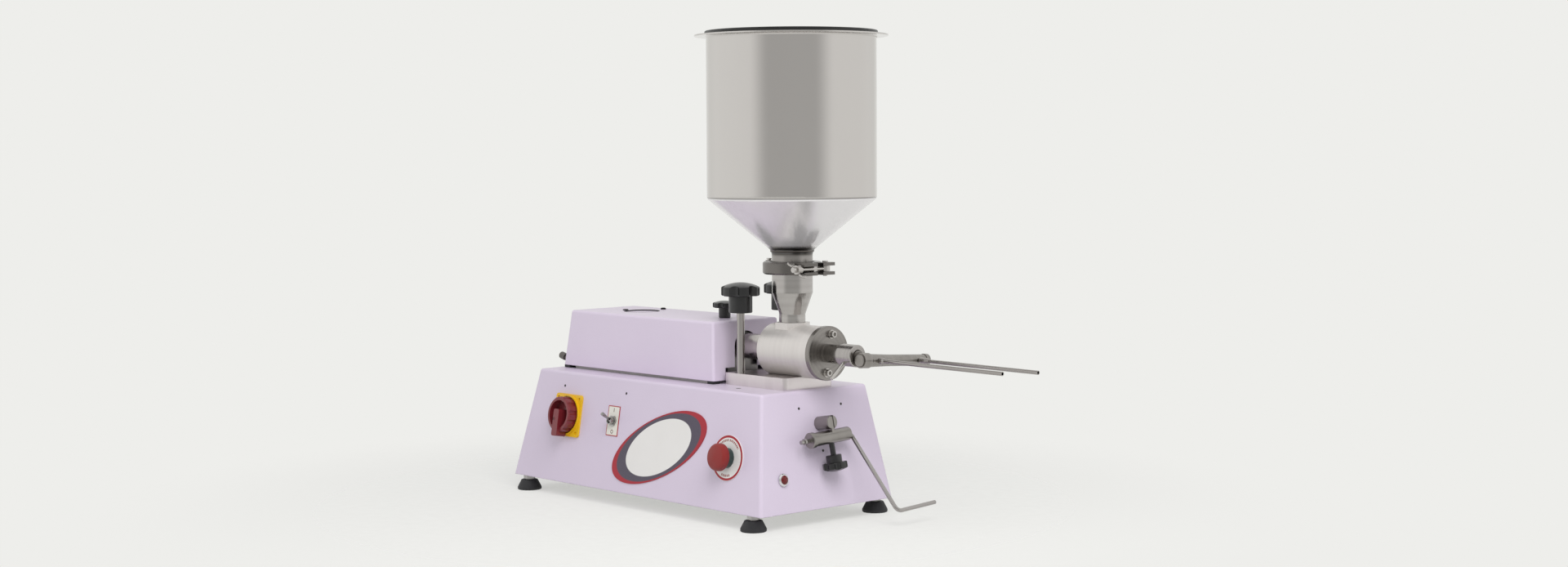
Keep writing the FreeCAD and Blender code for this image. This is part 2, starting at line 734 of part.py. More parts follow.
side_screw_z = base_top - dim("side_screw_from_top", 22)
front_screw_z = base_top - dim("front_screw_from_top", 25)
panel_screws_side = [(dim("side_screw_from_rear", 107) - base_long / 2, side_screw_z),
                     (dim("side_screw_from_middle", -35), side_screw_z)]
panel_screws_front = [(dim("front_screw_near_y", -36), front_screw_z), (dim("front_screw_far_y", 48), front_screw_z),
                      (dim("front_screw_low_y", 2), dim("front_screw_low_height", 104.6))]
top_screw_x = dim("top_screw_x", 182.5)
top_screw_y = dim("top_screw_y", -71.7)
plate_screw_x = base_long / 2 - dim("plate_screw_inset_x", 97)
plate_screw_y = base_wide / 2 - dim("plate_screw_inset_y", 28)
doc.recompute()

foot_spots = {"front_near": (foot_x, -foot_y), "front_far": (foot_x, foot_y),
              "rear_near": (-foot_x, -foot_y), "rear_far": (-foot_x, foot_y)}
screw_spots = [on_side(x, z) for x, z in panel_screws_side] + [on_front(y, z) for y, z in panel_screws_front]
plate_spots = [(x * plate_screw_x, y * plate_screw_y) for x in (-1, 0, 1) for y in (-1, 1)]


def through_panel(radius, at):
    """A hole tool that starts outside a panel and ends behind its sheet."""
    return rod(radius, sheet_t * 4, f"{at} * {spot(0, 0, -sheet_t * 2)}")


bores = [through_panel(screw_r + running, at) for at in screw_spots]
bores += [rod(top_screw_r - sheet_t + running, sheet_t * 3, spot(top_screw_x, top_screw_y, base_top - sheet_t * 2)),
          add("Part::Cone", Radius1=top_screw_r - sheet_t + running, Radius2=top_screw_r + running,
              Height=sheet_t, at=spot(top_screw_x, top_screw_y, base_top - sheet_t))]
bores += [rod(stud_r + running, sheet_t * 3, spot(x, y, base_low - sheet_t)) for x, y in foot_spots.values()]
bores += [rod(plate_screw_r + running, sheet_t * 3, spot(x, y, base_low - sheet_t)) for x, y in plate_spots]
bores += [rod(rod_r + running, nut_h * 2, spot(rod_x, side * rod_y, base_top - nut_h * 1.5)) for side in (-1, 1)]
bores += [through_panel(iso_shaft_r + gap, on_side(iso_x, iso_z)),
          through_panel(tog_bush_r + running, on_side(tog_x, tog_z)),
          through_panel(barrel_r + running, on_side(stop_x, stop_z)),
          through_panel(lamp_barrel_r + running, on_front(lamp_y, lamp_z)),
          through_panel(trip_pin_r + gap, on_front(0, trip_z)),
          rod(motor_shaft_r + gap, sheet_t * 4, spot(access_x, 0, base_top - sheet_t * 2))]
node("base_housing", cut(shell, *bores))

half_long = base_long / 2 - plate_margin_x
half_wide = base_wide / 2 - plate_margin_y
panel = block((-half_long, -half_wide, base_low - sheet_t), (half_long, half_wide, base_low))
vents = [block((-vent_long / 2, row * vent_step - vent_wide / 2, base_low - sheet_t * 2),
               (vent_long / 2, row * vent_step + vent_wide / 2, base_low + sheet_t)) for row in range(-2, 3)]
plate_bores = [rod(plate_screw_r + running, sheet_t * 3, spot(x, y, base_low - sheet_t * 2)) for x, y in plate_spots]
node("bottom_plate", cut(panel, *vents, *plate_bores))

studs = []
for x, y in foot_spots.values():
    shank = rod(stud_r, base_low - stud_low + stud_up, spot(x, y, stud_low))
    jam = hexagon(foot_nut_r, foot_nut_h, spot(x, y, base_low - foot_nut_h))
    inner = hexagon(foot_inner_nut_r, foot_nut_h, spot(x, y, base_low + sheet_t))
    studs.append(join(shank, jam, inner))
node("foot_studs", group(*studs))
for name, (x, y) in foot_spots.items():
    profile = [(0, 0), (pad_r - 1, 0), (pad_r, 1), (pad_r, pad_lip), (pad_neck, pad_h),
               (stud_r + running, pad_h), (stud_r + running, stud_low), (0, stud_low)]
    node(f"foot_pad_{name}", turned(profile, spot(x, y, 0)))


def domed_screw(head, shank, out, deep, at):
    """A small round-headed screw pointing into a face."""
    return turned([(0, -deep), (shank, -deep), (shank, 0), (head, 0), (head, out * 0.4),
                   (head * 0.5, out), (0, out)], at)


small = [domed_screw(screw_head, screw_r, screw_out, screw_in, at) for at in screw_spots]
small.append(turned([(0, -sheet_t * 3), (top_screw_r - sheet_t, -sheet_t * 3), (top_screw_r - sheet_t, -sheet_t),
                     (top_screw_r, 0), (0, 0)], spot(top_screw_x, top_screw_y, base_top)))
for x, y in plate_spots:
    under = spot(x, y, base_low - sheet_t, DOWN)
    small.append(domed_screw(plate_screw_head, plate_screw_r, plate_screw_out, sheet_t * 4, under))
node("housing_screws", group(*small))

# ---- isolator -----------------------------------------------------------------------------------------------------
iso_half = iso_plate / 2
square = plate([(-iso_half, -iso_half), (iso_half, -iso_half), (iso_half, iso_half), (-iso_half, iso_half)],
               iso_thick, on_side(iso_x, iso_z))
round_edges(square, iso_round, lambda e: e.BoundBox.ZLength > 1)
rim = turned([(iso_rim_r - iso_rim_w, iso_thick), (iso_rim_r, iso_thick), (iso_rim_r, iso_thick + iso_rim_h),
              (iso_rim_r - iso_rim_w, iso_thick + iso_rim_h)], on_side(iso_x, iso_z))
locks = [rod(iso_lock_r, iso_thick * 2, f"{on_side(iso_x, iso_z)} * {spot(a * iso_lock_x, b * iso_lock_x, 1)}")
         for a in (-1, 1) for b in (-1, 1)]
iso_hole = rod(iso_shaft_r + gap, iso_thick * 3, on_side(iso_x, iso_z, -iso_thick))
node("isolator_plate", cut(join(square, rim), *locks, iso_hole))
ring_top = iso_ring_z + iso_ring_h
floor_z = iso_ring_z + iso_thick
dial = turned([(iso_shaft_r + running, iso_ring_z), (iso_ring_r - 1, iso_ring_z), (iso_ring_r, iso_ring_z + 1),
               (iso_ring_r, ring_top - 2), (iso_ring_r - 2, ring_top), (iso_ring_in, ring_top),
               (iso_ring_in, floor_z), (iso_shaft_r + running, floor_z)], on_side(iso_x, iso_z))
grip_half = iso_grip_w / 2
grip = plate([(-grip_half, -iso_grip_low), (grip_half, -iso_grip_low), (grip_half, iso_grip_up),
              (-grip_half, iso_grip_up)], iso_ring_z + iso_grip_h - floor_z, on_side(iso_x, iso_z, floor_z))
round_edges(grip, iso_grip_r, lambda e: e.BoundBox.ZLength > 1)
flutes = []
for k in range(int(number(iso_flutes))):
    angle = k * 360 / number(iso_flutes) + 10
    offset = iso_ring_r + iso_flute_r * 0.5
    flutes.append(rod(iso_flute_r, iso_ring_h * 2, f"{on_side(iso_x, iso_z)} * "
                      f"{spot(offset * cosine(angle), offset * sine(angle), 0)}"))
socket = rod(iso_shaft_r + running, iso_ring_h - iso_thick, on_side(iso_x, iso_z, 0))
node("isolator_handle", cut(join(cut(dial, *flutes), grip), socket))
iso_body = block((-iso_box / 2, -iso_box / 2, -sheet_t - iso_box_d), (iso_box / 2, iso_box / 2, -sheet_t),
                 on_side(iso_x, iso_z))
iso_shaft = rod(iso_shaft_r, iso_ring_h - iso_thick + sheet_t * 2, on_side(iso_x, iso_z, -sheet_t * 2.5))
node("isolator_switch", join(iso_body, iso_shaft))

# ---- toggle -------------------------------------------------------------------------------------------------------
here = on_side(tog_x, tog_z)
tog_card = plate([(-tog_plate_w / 2, -tog_plate_h / 2), (tog_plate_w / 2, -tog_plate_h / 2),
                  (tog_plate_w / 2, tog_plate_h / 2), (-tog_plate_w / 2, tog_plate_h / 2)], tog_plate_t, here)
node("toggle_plate", cut(tog_card, rod(tog_bush_r + running, sheet_t * 2, on_side(tog_x, tog_z, -sheet_t))))
tog_box = block((-tog_body_w / 2, -tog_body_h / 2, -sheet_t - tog_body_d),
                (tog_body_w / 2, tog_body_h / 2, -sheet_t), here)
bush = rod(tog_bush_r, tog_bush_out + sheet_t * 2, on_side(tog_x, tog_z, -sheet_t * 2))
nut = hexagon(tog_nut_r, tog_nut_h, on_side(tog_x, tog_z, tog_plate_t))
bush_bore = rod(tog_bore_r, tog_bush_out, on_side(tog_x, tog_z, 1))
node("toggle_switch", cut(join(tog_box, bush, nut), bush_bore))
lever_at = on_side(tog_x, tog_z, tog_pivot, f"rotation(vector(1; 0; 0); -{words(tog_angle)})")
ball = add("Part::Sphere", Radius=tog_ball_r, at=lever_at)
bat = turned([(0, 0), (tog_neck_r, 0), (tog_neck_r, tog_ball_r + 3), (tog_tip_r, tog_length - tog_tip_r),
              (0, tog_length, tog_tip_r)], lever_at)
pin_half = (tog_ball_r + tog_bore_r) / 2
pivot_pin = rod(tog_neck_r * 0.8, pin_half * 2, f"{here} * {spot(-pin_half, 0, tog_pivot, ALONG_X)}")
node("toggle_lever", join(ball, bat, pivot_pin))

# ---- name plate ---------------------------------------------------------------------------------------------------
tilted = f"rotation(vector(0; 0; 1); {words(name_tilt)})"
oval = add("Part::Ellipse", MajorRadius=name_long / 2, MinorRadius=name_wide / 2,
           at=on_side(name_x, name_z, 0, tilted))
card = add("Part::Extrusion", Base=oval, DirMode="Normal", LengthFwd=name_thick, Solid=True, Reversed=True)
node("name_plate", card)

# ---- emergency stop -----------------------------------------------------------------------------------------------
here = on_side(stop_x, stop_z)
node("estop_legend", turned([(barrel_r + running, 0), (legend_r, 0), (legend_r, legend_t),
                             (barrel_r + running, legend_t)], here))
collar = turned([(stem_r + running, -sheet_t - barrel_in), (barrel_r, -sheet_t - barrel_in), (barrel_r, legend_t),
                 (collar_r, legend_t), (collar_r, collar_out - 1), (collar_r - 1, collar_out),
                 (stem_r + running, collar_out)], here)
contacts = block((-block_side / 2, -block_side / 2, -sheet_t - barrel_in - block_deep),
                 (block_side / 2, block_side / 2, -sheet_t - barrel_in), here)
node("estop_collar", join(collar, contacts))
stem_start = -barrel_in * 0.6
stem_top = stop_high - stop_wall * 2
node("estop_plunger", rod(stem_r, stem_top - stem_start, on_side(stop_x, stop_z, stem_start)))
skirt_in = collar_r + gap
recess = stop_low + stop_travel + gap
node("estop_head", turned([(stem_r + running, recess), (skirt_in, recess), (skirt_in, stop_low),
                           (stop_r - 1, stop_low), (stop_r, stop_low + 1), (stop_r, stop_high - 7),
                           (stop_r - 5, stop_high - stop_dome, stop_edge),
                           (0, stop_high, crown(stop_r - 5, stop_dome)),
                           (0, stem_top), (stem_r + running, stem_top)], here))

# ---- pilot lamp ---------------------------------------------------------------------------------------------------
here = on_front(lamp_y, lamp_z)
bezel = turned([(lens_r + running, -sheet_t - lamp_barrel_in), (lamp_barrel_r, -sheet_t - lamp_barrel_in),
                (lamp_barrel_r, 0), (bezel_r, 0), (bezel_r, bezel_out - 1.5), (bezel_r - 1.5, bezel_out),
                (lens_r + running, bezel_out)], here)
lamp_nut = cut(hexagon(lamp_barrel_r + 4, sheet_t * 2, on_front(lamp_y, lamp_z, -sheet_t * 3)),
               rod(lens_r + running, sheet_t * 6, on_front(lamp_y, lamp_z, -sheet_t * 5)))
node("lamp_bezel", join(bezel, lamp_nut))
node("lamp_lens", turned([(0, -lamp_barrel_in * 0.6), (lens_r, -lamp_barrel_in * 0.6), (lens_r, bezel_out + 0.4),
                          (0, lens_out, crown(lens_r, lens_out - bezel_out - 0.4))], here))

# ---- drive cover --------------------------------------------------------------------------------------------------
def cover_blank(inset, low, high, rounded):
    slope = (cover_rear_top - cover_rear_low) / (cover_top - cover_low)
    rear = cover_rear_low + inset + slope * (low - cover_low)
    rear2 = cover_rear_low + inset + slope * (high - cover_low)
    sizes = {"Xmin": rear, "Xmax": cover_front - inset, "Ymin": low, "Ymax": high,
             "Zmin": inset - cover_half, "Zmax": cover_half - inset, "X2min": rear2, "X2max": cover_front - inset,
             "Z2min": inset - cover_half, "Z2max": cover_half - inset}
    body = doc.addObject("PartDesign::Body", "cover_blank")
    wedge = body.newObject("PartDesign::AdditiveWedge", "leaning_box")
    for name, size in sizes.items():
        wedge.setExpression(name, words(size))
    doc.recompute()
    top = number(high)
    if rounded:
        round_edges(body, cover_fold, lambda e: e.BoundBox.YMax > top - 0.01)
    body.setExpression("Placement", STANDING)
    return body


cover = cut(cover_blank(cover_t * 0, cover_low, cover_top, True),
            cover_blank(cover_t, cover_low - cover_t, cover_top - cover_t, False))
wall_x = cover_front - cover_t * 2
arch = rod(arch_r, cover_t * 4, spot(wall_x, 0, pump_z, ALONG_X))
slot = block((wall_x, -arch_r, cover_low - 1), (cover_front + cover_t, arch_r, pump_z))
notch = block((wall_x, -notch_half, cover_low - 1), (cover_front + cover_t, notch_half, notch_top))
blank = rod(access_r + blank_over, cover_t, spot(access_x, 0, cover_top - cover_t * 2))
recess = rod(access_r, cover_t * 2, spot(access_x, 0, cover_top - cover_t))
knob_hole = rod(ck_screw_r + gap, cover_t * 4, spot(cover_knob_x, 0, cover_top - cover_t * 2))
rear_slope = (cover_rear_top - cover_rear_low) / (cover_top - cover_low)
thumb_x = cover_rear_low + rear_slope * (thumb_z - cover_low)
tilt = f"rotation(vector(0; 1; 0); atan({words(rear_slope)}) - 90 deg)"
thumb_y = cover_half - thumb_inset
thumb_spots = [spot(thumb_x, side * thumb_y, thumb_z, tilt) for side in (-1, 1)]
thumb_holes = [rod(thumb_r + running, cover_t * 8, f"{at} * {spot(0, 0, -cover_t * 4)}") for at in thumb_spots]
node("drive_cover", cut(join(cover, blank), arch, slot, notch, recess, knob_hole, *thumb_holes))
pads = []
pad_rear = cover_rear_low + 1
for x in (pad_rear, cover_front - pad_side - 2):
    for side in (-1, 1):
        low_y = side * (cover_half - pad_side / 2 - 1) - pad_side / 2
        pads.append(block((x, low_y, base_top), (x + pad_side, low_y + pad_side, cover_low)))
node("cover_pads", group(*pads))
thumb_end = thumb_neck + thumb_head
thumbs = [turned([(0, -cover_t * 5), (thumb_r, -cover_t * 5), (thumb_r, 0), (thumb_neck_r, 0),
                  (thumb_neck_r, thumb_neck),
                  (thumb_head_r - thumb_edge / 2, thumb_neck), (thumb_head_r, thumb_neck + thumb_edge / 2),
                  (thumb_head_r, thumb_end - thumb_edge), (thumb_head_r - thumb_edge, thumb_end), (0, thumb_end)], at)
          for at in thumb_spots]
node("cover_screws", group(*thumbs))


def knob_profile(head_r, side, dome, boss_r, boss_h, bore_r, bore_h):
    """The turned blank of a lobed knob that stands on its boss, with a blind bore from below."""
    head_low = boss_h
    head_high = boss_h + side
    top = head_high + dome
    return [(bore_r, 0), (boss_r - 1, 0), (boss_r, 1), (boss_r, head_low), (head_r, head_low), (head_r, head_high),
            (0, top, crown(head_r, dome)), (0, bore_h), (bore_r, bore_h)], head_low, head_high


def lobed(head_r, side, dome, boss_r, boss_h, bore_r, bore_h, scallop, lobes, edge, at):
    points, low, high = knob_profile(head_r, side, dome, boss_r, boss_h, bore_r, bore_h)
    return star_knob(points, head_r, low, high, scallop, lobes, edge, at)


cover_knob_at = spot(cover_knob_x, 0, cover_top + 0.2)
cover_knob = lobed(ck_r, ck_side, ck_dome, ck_boss_r, ck_boss_h, ck_screw_r * 0.5, ck_boss_h * 0.5,
                   ck_scallop, knob_lobes, ck_edge, cover_knob_at)
ck_screw = rod(ck_screw_r, cover_top - bridge_low + ck_boss_h * 0.6, spot(cover_knob_x, 0, bridge_low + 1))
node("cover_knob", join(cover_knob, ck_screw))

# ---- drive frame and drive ----------------------------------------------------------------------------------------
frame_top = base_top + frame_t
deck = block((frame_rear, -frame_half, base_top), (frame_front, frame_half, frame_top))
guides = [block((guide_x, low, frame_top), (guide_end, low + guide_out - guide_in, guide_top))
          for low in (-guide_out, guide_in)]
stand = block((bearing_x, -bearing_half, frame_top), (bearing_x + tube_seat * 2.4, bearing_half, bearing_top))
legs = [block((cover_knob_x - bridge_long / 2, low, frame_top), (cover_knob_x + bridge_long / 2, low + bridge_leg,
        bridge_high)) for low in (-bridge_half, bridge_half - bridge_leg)]
bar = block((cover_knob_x - bridge_long / 2, -bridge_half, bridge_low),
            (cover_knob_x + bridge_long / 2, bridge_half, bridge_high))
frame_blank = join(deck, *guides, stand, *legs, bar)
rod_bore = rod(piston_rod_r + running, tube_seat * 6, spot(bearing_x - tube_seat, 0, pump_z, ALONG_X))
tube_seat_cut = rod(tube_r + running, tube_seat * 4, spot(tube_rear, 0, pump_z, ALONG_X))
shaft_hole = rod(disc_hub_r - 4, frame_t * 4, spot(access_x, 0, base_top - frame_t))
bridge_hole = rod(ck_screw_r + gap, bridge_long, spot(cover_knob_x, 0, bridge_low - 1))
node("drive_frame", cut(frame_blank, rod_bore, tube_seat_cut, shaft_hole, bridge_hole))

gearbox = block((gearbox_rear, -gearbox_half, gearbox_low), (gearbox_front, gearbox_half, base_top - sheet_t))
motor = turned([(0, 0), (motor_r, 0), (motor_r, motor_long * 0.78), (motor_r - 4, motor_long * 0.79),
                (motor_r - 4, motor_long - 3), (motor_r - 7, motor_long), (0, motor_long)],
               spot(gearbox_front, 0, motor_z, ALONG_X))
gear_shaft = rod(motor_shaft_r, disc_high - base_top + sheet_t * 2, spot(access_x, 0, base_top - sheet_t * 3))
node("gearmotor", join(gearbox, motor, gear_shaft))
disc = turned([(motor_shaft_r + running, disc_hub_low), (disc_hub_r, disc_hub_low), (disc_hub_r, disc_low),
               (disc_r - 1, disc_low), (disc_r, disc_low + 1), (disc_r, disc_high - 1), (disc_r - 1, disc_high),
               (motor_shaft_r + running, disc_high)], spot(access_x, 0, 0))
pin_hole = rod(crank_pin_r + gap, disc_high - disc_low + 2, spot(access_x - crank_throw, 0, disc_low - 1))
node("crank_disc", cut(disc, pin_hole))

pin_x = access_x - crank_throw
cross_x = pin_x + rod_long
shank_bar = block((pin_x, -rod_half, rod_low), (cross_x, rod_half, rod_high))
eyes = [rod(rod_eye_r, rod_high - rod_low, spot(x, 0, rod_low)) for x in (pin_x, cross_x)]
crank_pin = rod(crank_pin_r, rod_high - disc_high + 2, spot(pin_x, 0, disc_high + gap))
cross_bore = rod(cross_pin_r + running, rod_high - rod_low + 4, spot(cross_x, 0, rod_low - 2))
node("conn_rod", cut(join(shank_bar, *eyes, crank_pin), cross_bore))

head_block = block((cross_x - cross_rear, -cross_half, cross_low), (cross_x + cross_front, cross_half, cross_high))
fork = block((cross_x - cross_rear - 1, -cross_half - 1, rod_low - gap),
             (cross_x + rod_eye_r + 1, cross_half + 1, rod_high + gap))
cross_pin = rod(cross_pin_r, cross_high - cross_low, spot(cross_x, 0, cross_low))
rod_seat = rod(piston_rod_r + running, cross_front * 2, spot(cross_x + rod_eye_r + 3, 0, pump_z, ALONG_X))
node("crosshead", join(cut(head_block, fork, rod_seat), cross_pin))
rod_start = cross_x + rod_eye_r + 4
piston_back = piston_face - piston_long
node("piston_rod", rod(piston_rod_r, piston_face - 3 - rod_start, spot(rod_start, 0, pump_z, ALONG_X)))
seal_x = piston_back + (piston_long - seal_w) / 2
piston_r = pump_bore - 0.1
piston_blank = turned([(piston_rod_r + running, piston_back), (piston_r, piston_back),
                       (piston_r, seal_x), (seal_in, seal_x), (seal_in, seal_x + seal_w),
                       (piston_r, seal_x + seal_w), (piston_r, piston_face), (0, piston_face),
                       (0, piston_face - 3), (piston_rod_r + running, piston_face - 3)],
                      spot(0, 0, pump_z, ALONG_X))
node("piston", piston_blank)
node("piston_seals", turned([(seal_in + running, seal_x + running), (pump_bore - running, seal_x + running),
                             (pump_bore - running, seal_x + seal_w - running),
                             (seal_in + running, seal_x + seal_w - running)], spot(0, 0, pump_z, ALONG_X)))

# ---- pump ---------------------------------------------------------------------------------------------------------
foot = plate([(pump_plate_rear, -pump_plate_half), (pump_plate_front, -pump_plate_half),
              (pump_plate_front, pump_plate_half), (pump_plate_rear, pump_plate_half)],
             pump_plate_top - base_top, spot(0, 0, base_top))
ends = number(pump_plate_front) - 0.5
round_edges(foot, pump_plate_r, lambda e: e.BoundBox.ZLength > 5 and e.BoundBox.XMin > ends)
saddle = rod(pump_r + running, pump_front - pump_rear + 4, spot(pump_rear - 2, 0, pump_z, ALONG_X))
rod_holes = [rod(rod_r + running, (pump_plate_top - base_top) * 2, spot(rod_x, side * rod_y, base_top - 5))
             for side in (-1, 1)]
node("pump_plate", cut(foot, saddle, *rod_holes))

barrel = turned([(0, pump_rear), (pump_r - pump_chamfer, pump_rear), (pump_r, pump_rear + pump_chamfer),
                 (pump_r, pump_front), (0, pump_front)], spot(0, 0, pump_z, ALONG_X))
inlet = hexagon(inlet_r, inlet_top - pump_z, spot(inlet_x, 0, pump_z))
bore = rod(pump_bore, pump_front - pump_rear, spot(pump_rear + tube_seat, 0, pump_z, ALONG_X))
rear_hole = rod(tube_r + running, tube_seat * 2, spot(pump_rear - 1, 0, pump_z, ALONG_X))
port = rod(inlet_bore - 2, inlet_top - pump_z, spot(inlet_x, 0, pump_z))
port_seat = rod(inlet_bore + running, red_seat, spot(inlet_x, 0, inlet_top - red_seat))
bolt_spots = [f"{spot(0, 0, pump_z, ALONG_X)} * placement(vector(0; 0; 0); rotation(vector(0; 0; 1); {words(a)})) * "
              f"{spot(-bolt_circle, 0, end_x)}" for a in (-bolt_turn, 180 - bolt_turn)]
taps = [rod(bolt_r + running, bolt_deep * 2, f"{at} * {spot(0, 0, pump_front - end_x - bolt_deep)}")
        for at in bolt_spots]
node("pump_cylinder", cut(join(barrel, inlet), bore, rear_hole, port, port_seat, *taps))
node("barrel_tube", turned([(tube_bore, tube_rear), (tube_r, tube_rear), (tube_r, pump_rear + tube_seat),
                            (tube_bore, pump_rear + tube_seat)], spot(0, 0, pump_z, ALONG_X)))
flange = turned([(duct_r, pump_front), (end_r - 1, pump_front), (end_r, pump_front + 1), (end_r, end_x - 1),
                 (end_r - 1, end_x), (neck_r, end_x), (neck_r, neck_x), (nose_r, neck_x), (nose_r, nose_x),
                 (spigot_r + running, nose_x), (spigot_r + running, neck_x + 4), (duct_r, neck_x + 4)],
                spot(0, 0, pump_z, ALONG_X))
flange_taps = [rod(bolt_r + running, bolt_deep * 3, f"{at} * {spot(0, 0, -bolt_deep * 1.5)}") for at in bolt_spots]
node("front_flange", cut(flange, *flange_taps))
bolts = []
for at in bolt_spots:
    head_top = washer_t + bolt_head_h
    body = turned([(0, -bolt_deep), (bolt_r, -bolt_deep), (bolt_r, 0), (washer_r, 0), (washer_r, washer_t),
                   (bolt_head_r, washer_t), (bolt_head_r, head_top - 0.5), (bolt_head_r - 0.5, head_top),
                   (0, head_top)], at)
    bolts.append(cut(body, hexagon(hex_r, hex_deep * 2, f"{at} * {spot(0, 0, head_top - hex_deep)}")))
node("flange_bolts", group(*bolts))

lock = turned([(nose_r + running, neck_x + gap), (lock_r - lock_edge, neck_x + gap),
               (lock_r, neck_x + gap + lock_edge),
               (lock_r, lock_end - lock_edge), (lock_r - lock_edge, lock_end), (spigot_r + 1.4, lock_end),
               (spigot_r + running, lock_end - 1.4), (spigot_r + running, lock_end - lock_wall),
               (nose_r + running, lock_end - lock_wall)], spot(0, 0, pump_z, ALONG_X))
tommy_way = f"rotation(vector(1; 0; 0); 90 + {words(tommy_angle)})"
tommy_at = spot(tommy_x, 0, pump_z, tommy_way)
tommy_hole = rod(tommy_r + running, lock_r, f"{tommy_at} * {spot(0, 0, tommy_start - 0.6)}")
node("lock_collar", cut(lock, tommy_hole))
node("tommy_bar", turned([(0, tommy_start), (tommy_r, tommy_start), (tommy_r, tommy_end - 0.8),
                          (tommy_r - 0.8, tommy_end), (0, tommy_end)], tommy_at))

# ---- manifold and needles -----------------------------------------------------------------------------------------
mani_z = pump_z - mani_drop
mani_way = f"rotation(vector(1; 0; 0); -90 - {words(mani_droop)})"
mani_at = spot(mani_x, 0, mani_z, mani_way)
mani_tube = turned([(0, mani_near), (mani_hub_r, mani_near), (mani_hub_r, mani_hub_y), (mani_mid_r, mani_step_y),
                    (mani_r, mani_even_y), (mani_r, mani_far), (0, mani_far)], mani_at)
flat_side = block((lock_end - lock_r, -lock_r, pump_z - lock_r * 2), (lock_end + gap, lock_r, pump_z + lock_r))
spigot_start = neck_x + 4 + gap
spigot = rod(spigot_r, lock_end + gap * 4 - spigot_start, spot(spigot_start, 0, pump_z, ALONG_X))
spigot_root = rod(duct_r - gap, mani_x - mani_r / 2 - spigot_start, spot(spigot_start, 0, pump_z, ALONG_X))
spigot_bore = rod(duct_r - 1, mani_x - neck_x, spot(neck_x, 0, pump_z, ALONG_X))
mani_duct = rod(mani_bore, mani_far - mani_near + 2, f"{mani_at} * {spot(0, 0, mani_near - 1)}")
cap_holes = [rod(cap_r - 3, cap_plug + 1, f"{mani_at} * {spot(0, 0, z)}") for z in (mani_near - 1, mani_far - cap_plug)]


def mani_height(y):
    """Height of the drooping manifold's axis at a distance along it."""
    return mani_z - y * sine(mani_droop) / cosine(mani_droop)


def needle_at(y):
    """The frame of a needle: origin on the manifold's axis, local z along the needle, which sags a little."""
    return spot(mani_x, y, mani_height(y), f"rotation(vector(0; 1; 0); 90 + {words(needle_sag)})")


outlets = [rod(needle_r + running, mani_r * 2, needle_at(y)) for y in (needle_near_y, needle_far_y)]
cross_tube = join(cut(mani_tube, flat_side), spigot, spigot_root)
node("manifold", cut(cross_tube, spigot_bore, mani_duct, *cap_holes, *outlets))
near_cap = turned([(0, mani_near - near_cap_l), (cap_r - 1, mani_near - near_cap_l),
                   (cap_r, mani_near - near_cap_l + 1),
                   (cap_r, mani_near), (cap_r - 3 - running, mani_near), (cap_r - 3 - running, mani_near + cap_plug),
                   (0, mani_near + cap_plug)], mani_at)
far_cap = turned([(0, mani_far - cap_plug), (cap_r - 3 - running, mani_far - cap_plug),
                  (cap_r - 3 - running, mani_far), (cap_r, mani_far), (cap_r, mani_far + cap_long - 1),
                  (cap_r - 1, mani_far + cap_long), (0, mani_far + cap_long)], mani_at)
node("manifold_caps", group(near_cap, far_cap))


def needle(y, end, hub_l):
    """A hollow needle with a slanted tip and a small root fitting."""
    at = needle_at(y)
    root = mani_bore * 0.5
    face = mani_r + 1
    tip = end - mani_x
    pipe = turned([(needle_bore, root), (needle_r, root), (needle_r, face), (needle_hub_r, face),
                   (needle_hub_r, face + hub_l * 0.6), (needle_r + 0.6, face + hub_l), (needle_r, face + hub_l),
                   (needle_r, tip), (needle_bore, tip)], at)
    slant = f"rotation(vector(0; 1; 0); atan({words(needle_r * 2)} / {words(needle_bevel)}))"
    heel = f"{at} * {spot(needle_r, 0, tip - needle_bevel, slant)}"
    return cut(pipe, block((0, -needle_r * 2, -1), (needle_r * 8, needle_r * 2, needle_bevel * 2), heel))


node("needle_near", needle(needle_near_y, needle_near_end, needle_hub_l))
node("needle_far", needle(needle_far_y, needle_far_end, needle_hub_l * 2))

# ---- hopper, clamp and reducer ------------------------------------------------------------------------------------
seat_top = clamp_mid + gasket_t / 2
seat_low = clamp_mid - gasket_t / 2
throat_in = throat_r - hopper_t
node("hopper", turned([(throat_in, seat_top), (ferrule_r, seat_top), (ferrule_r, seat_top + ferrule_t * 0.6),
                       (throat_r + 1, seat_top + ferrule_t + ferrule_neck), (throat_r, seat_top + ferrule_t + 4),
                       (throat_r, throat_z - 6), (throat_r + 3, throat_z + 3, Size(-14, "(0 - 14)")),
                       (hopper_r - 2, hopper_low - 3), (hopper_r, hopper_low + 4, Size(10, "10")),
                       (hopper_r, hopper_top - hopper_t - 3),
                       (hopper_r + 3, hopper_top - hopper_t, Size(-3, "(0 - 3)")),
                       (rim_r, hopper_top - hopper_t), (rim_r, hopper_top), (hopper_r - hopper_t, hopper_top),
                       (hopper_r - hopper_t, hopper_low + 4), (hopper_r - 2 - hopper_t, hopper_low - 3 + 1),
                       (throat_in + 3, throat_z + 4), (throat_in, throat_z - 4)], spot(inlet_x, 0, 0)))
lid_high = hopper_top + lid_edge
lid_shelf = lid_high - lid_t
lid_in = lid_r - lid_ring_w
lid_seat_r = lid_r - lid_grip
lid_ring = turned([(lid_in, hopper_top), (lid_r, hopper_top), (lid_r, lid_high - 1), (lid_r - 1, lid_high),
                   (lid_seat_r, lid_high), (lid_seat_r, lid_shelf), (lid_in, lid_shelf)], spot(inlet_x, 0, 0))
lid_sheet = rod(lid_seat_r - running, lid_t, spot(inlet_x, 0, lid_shelf))
node("hopper_lid", group(lid_sheet, lid_ring))
node("clamp_gasket", turned([(throat_in, seat_low), (ferrule_r - 0.5, seat_low), (ferrule_r - 0.5, seat_top),
                             (throat_in, seat_top)], spot(inlet_x, 0, 0)))
red_in = inlet_bore - 2
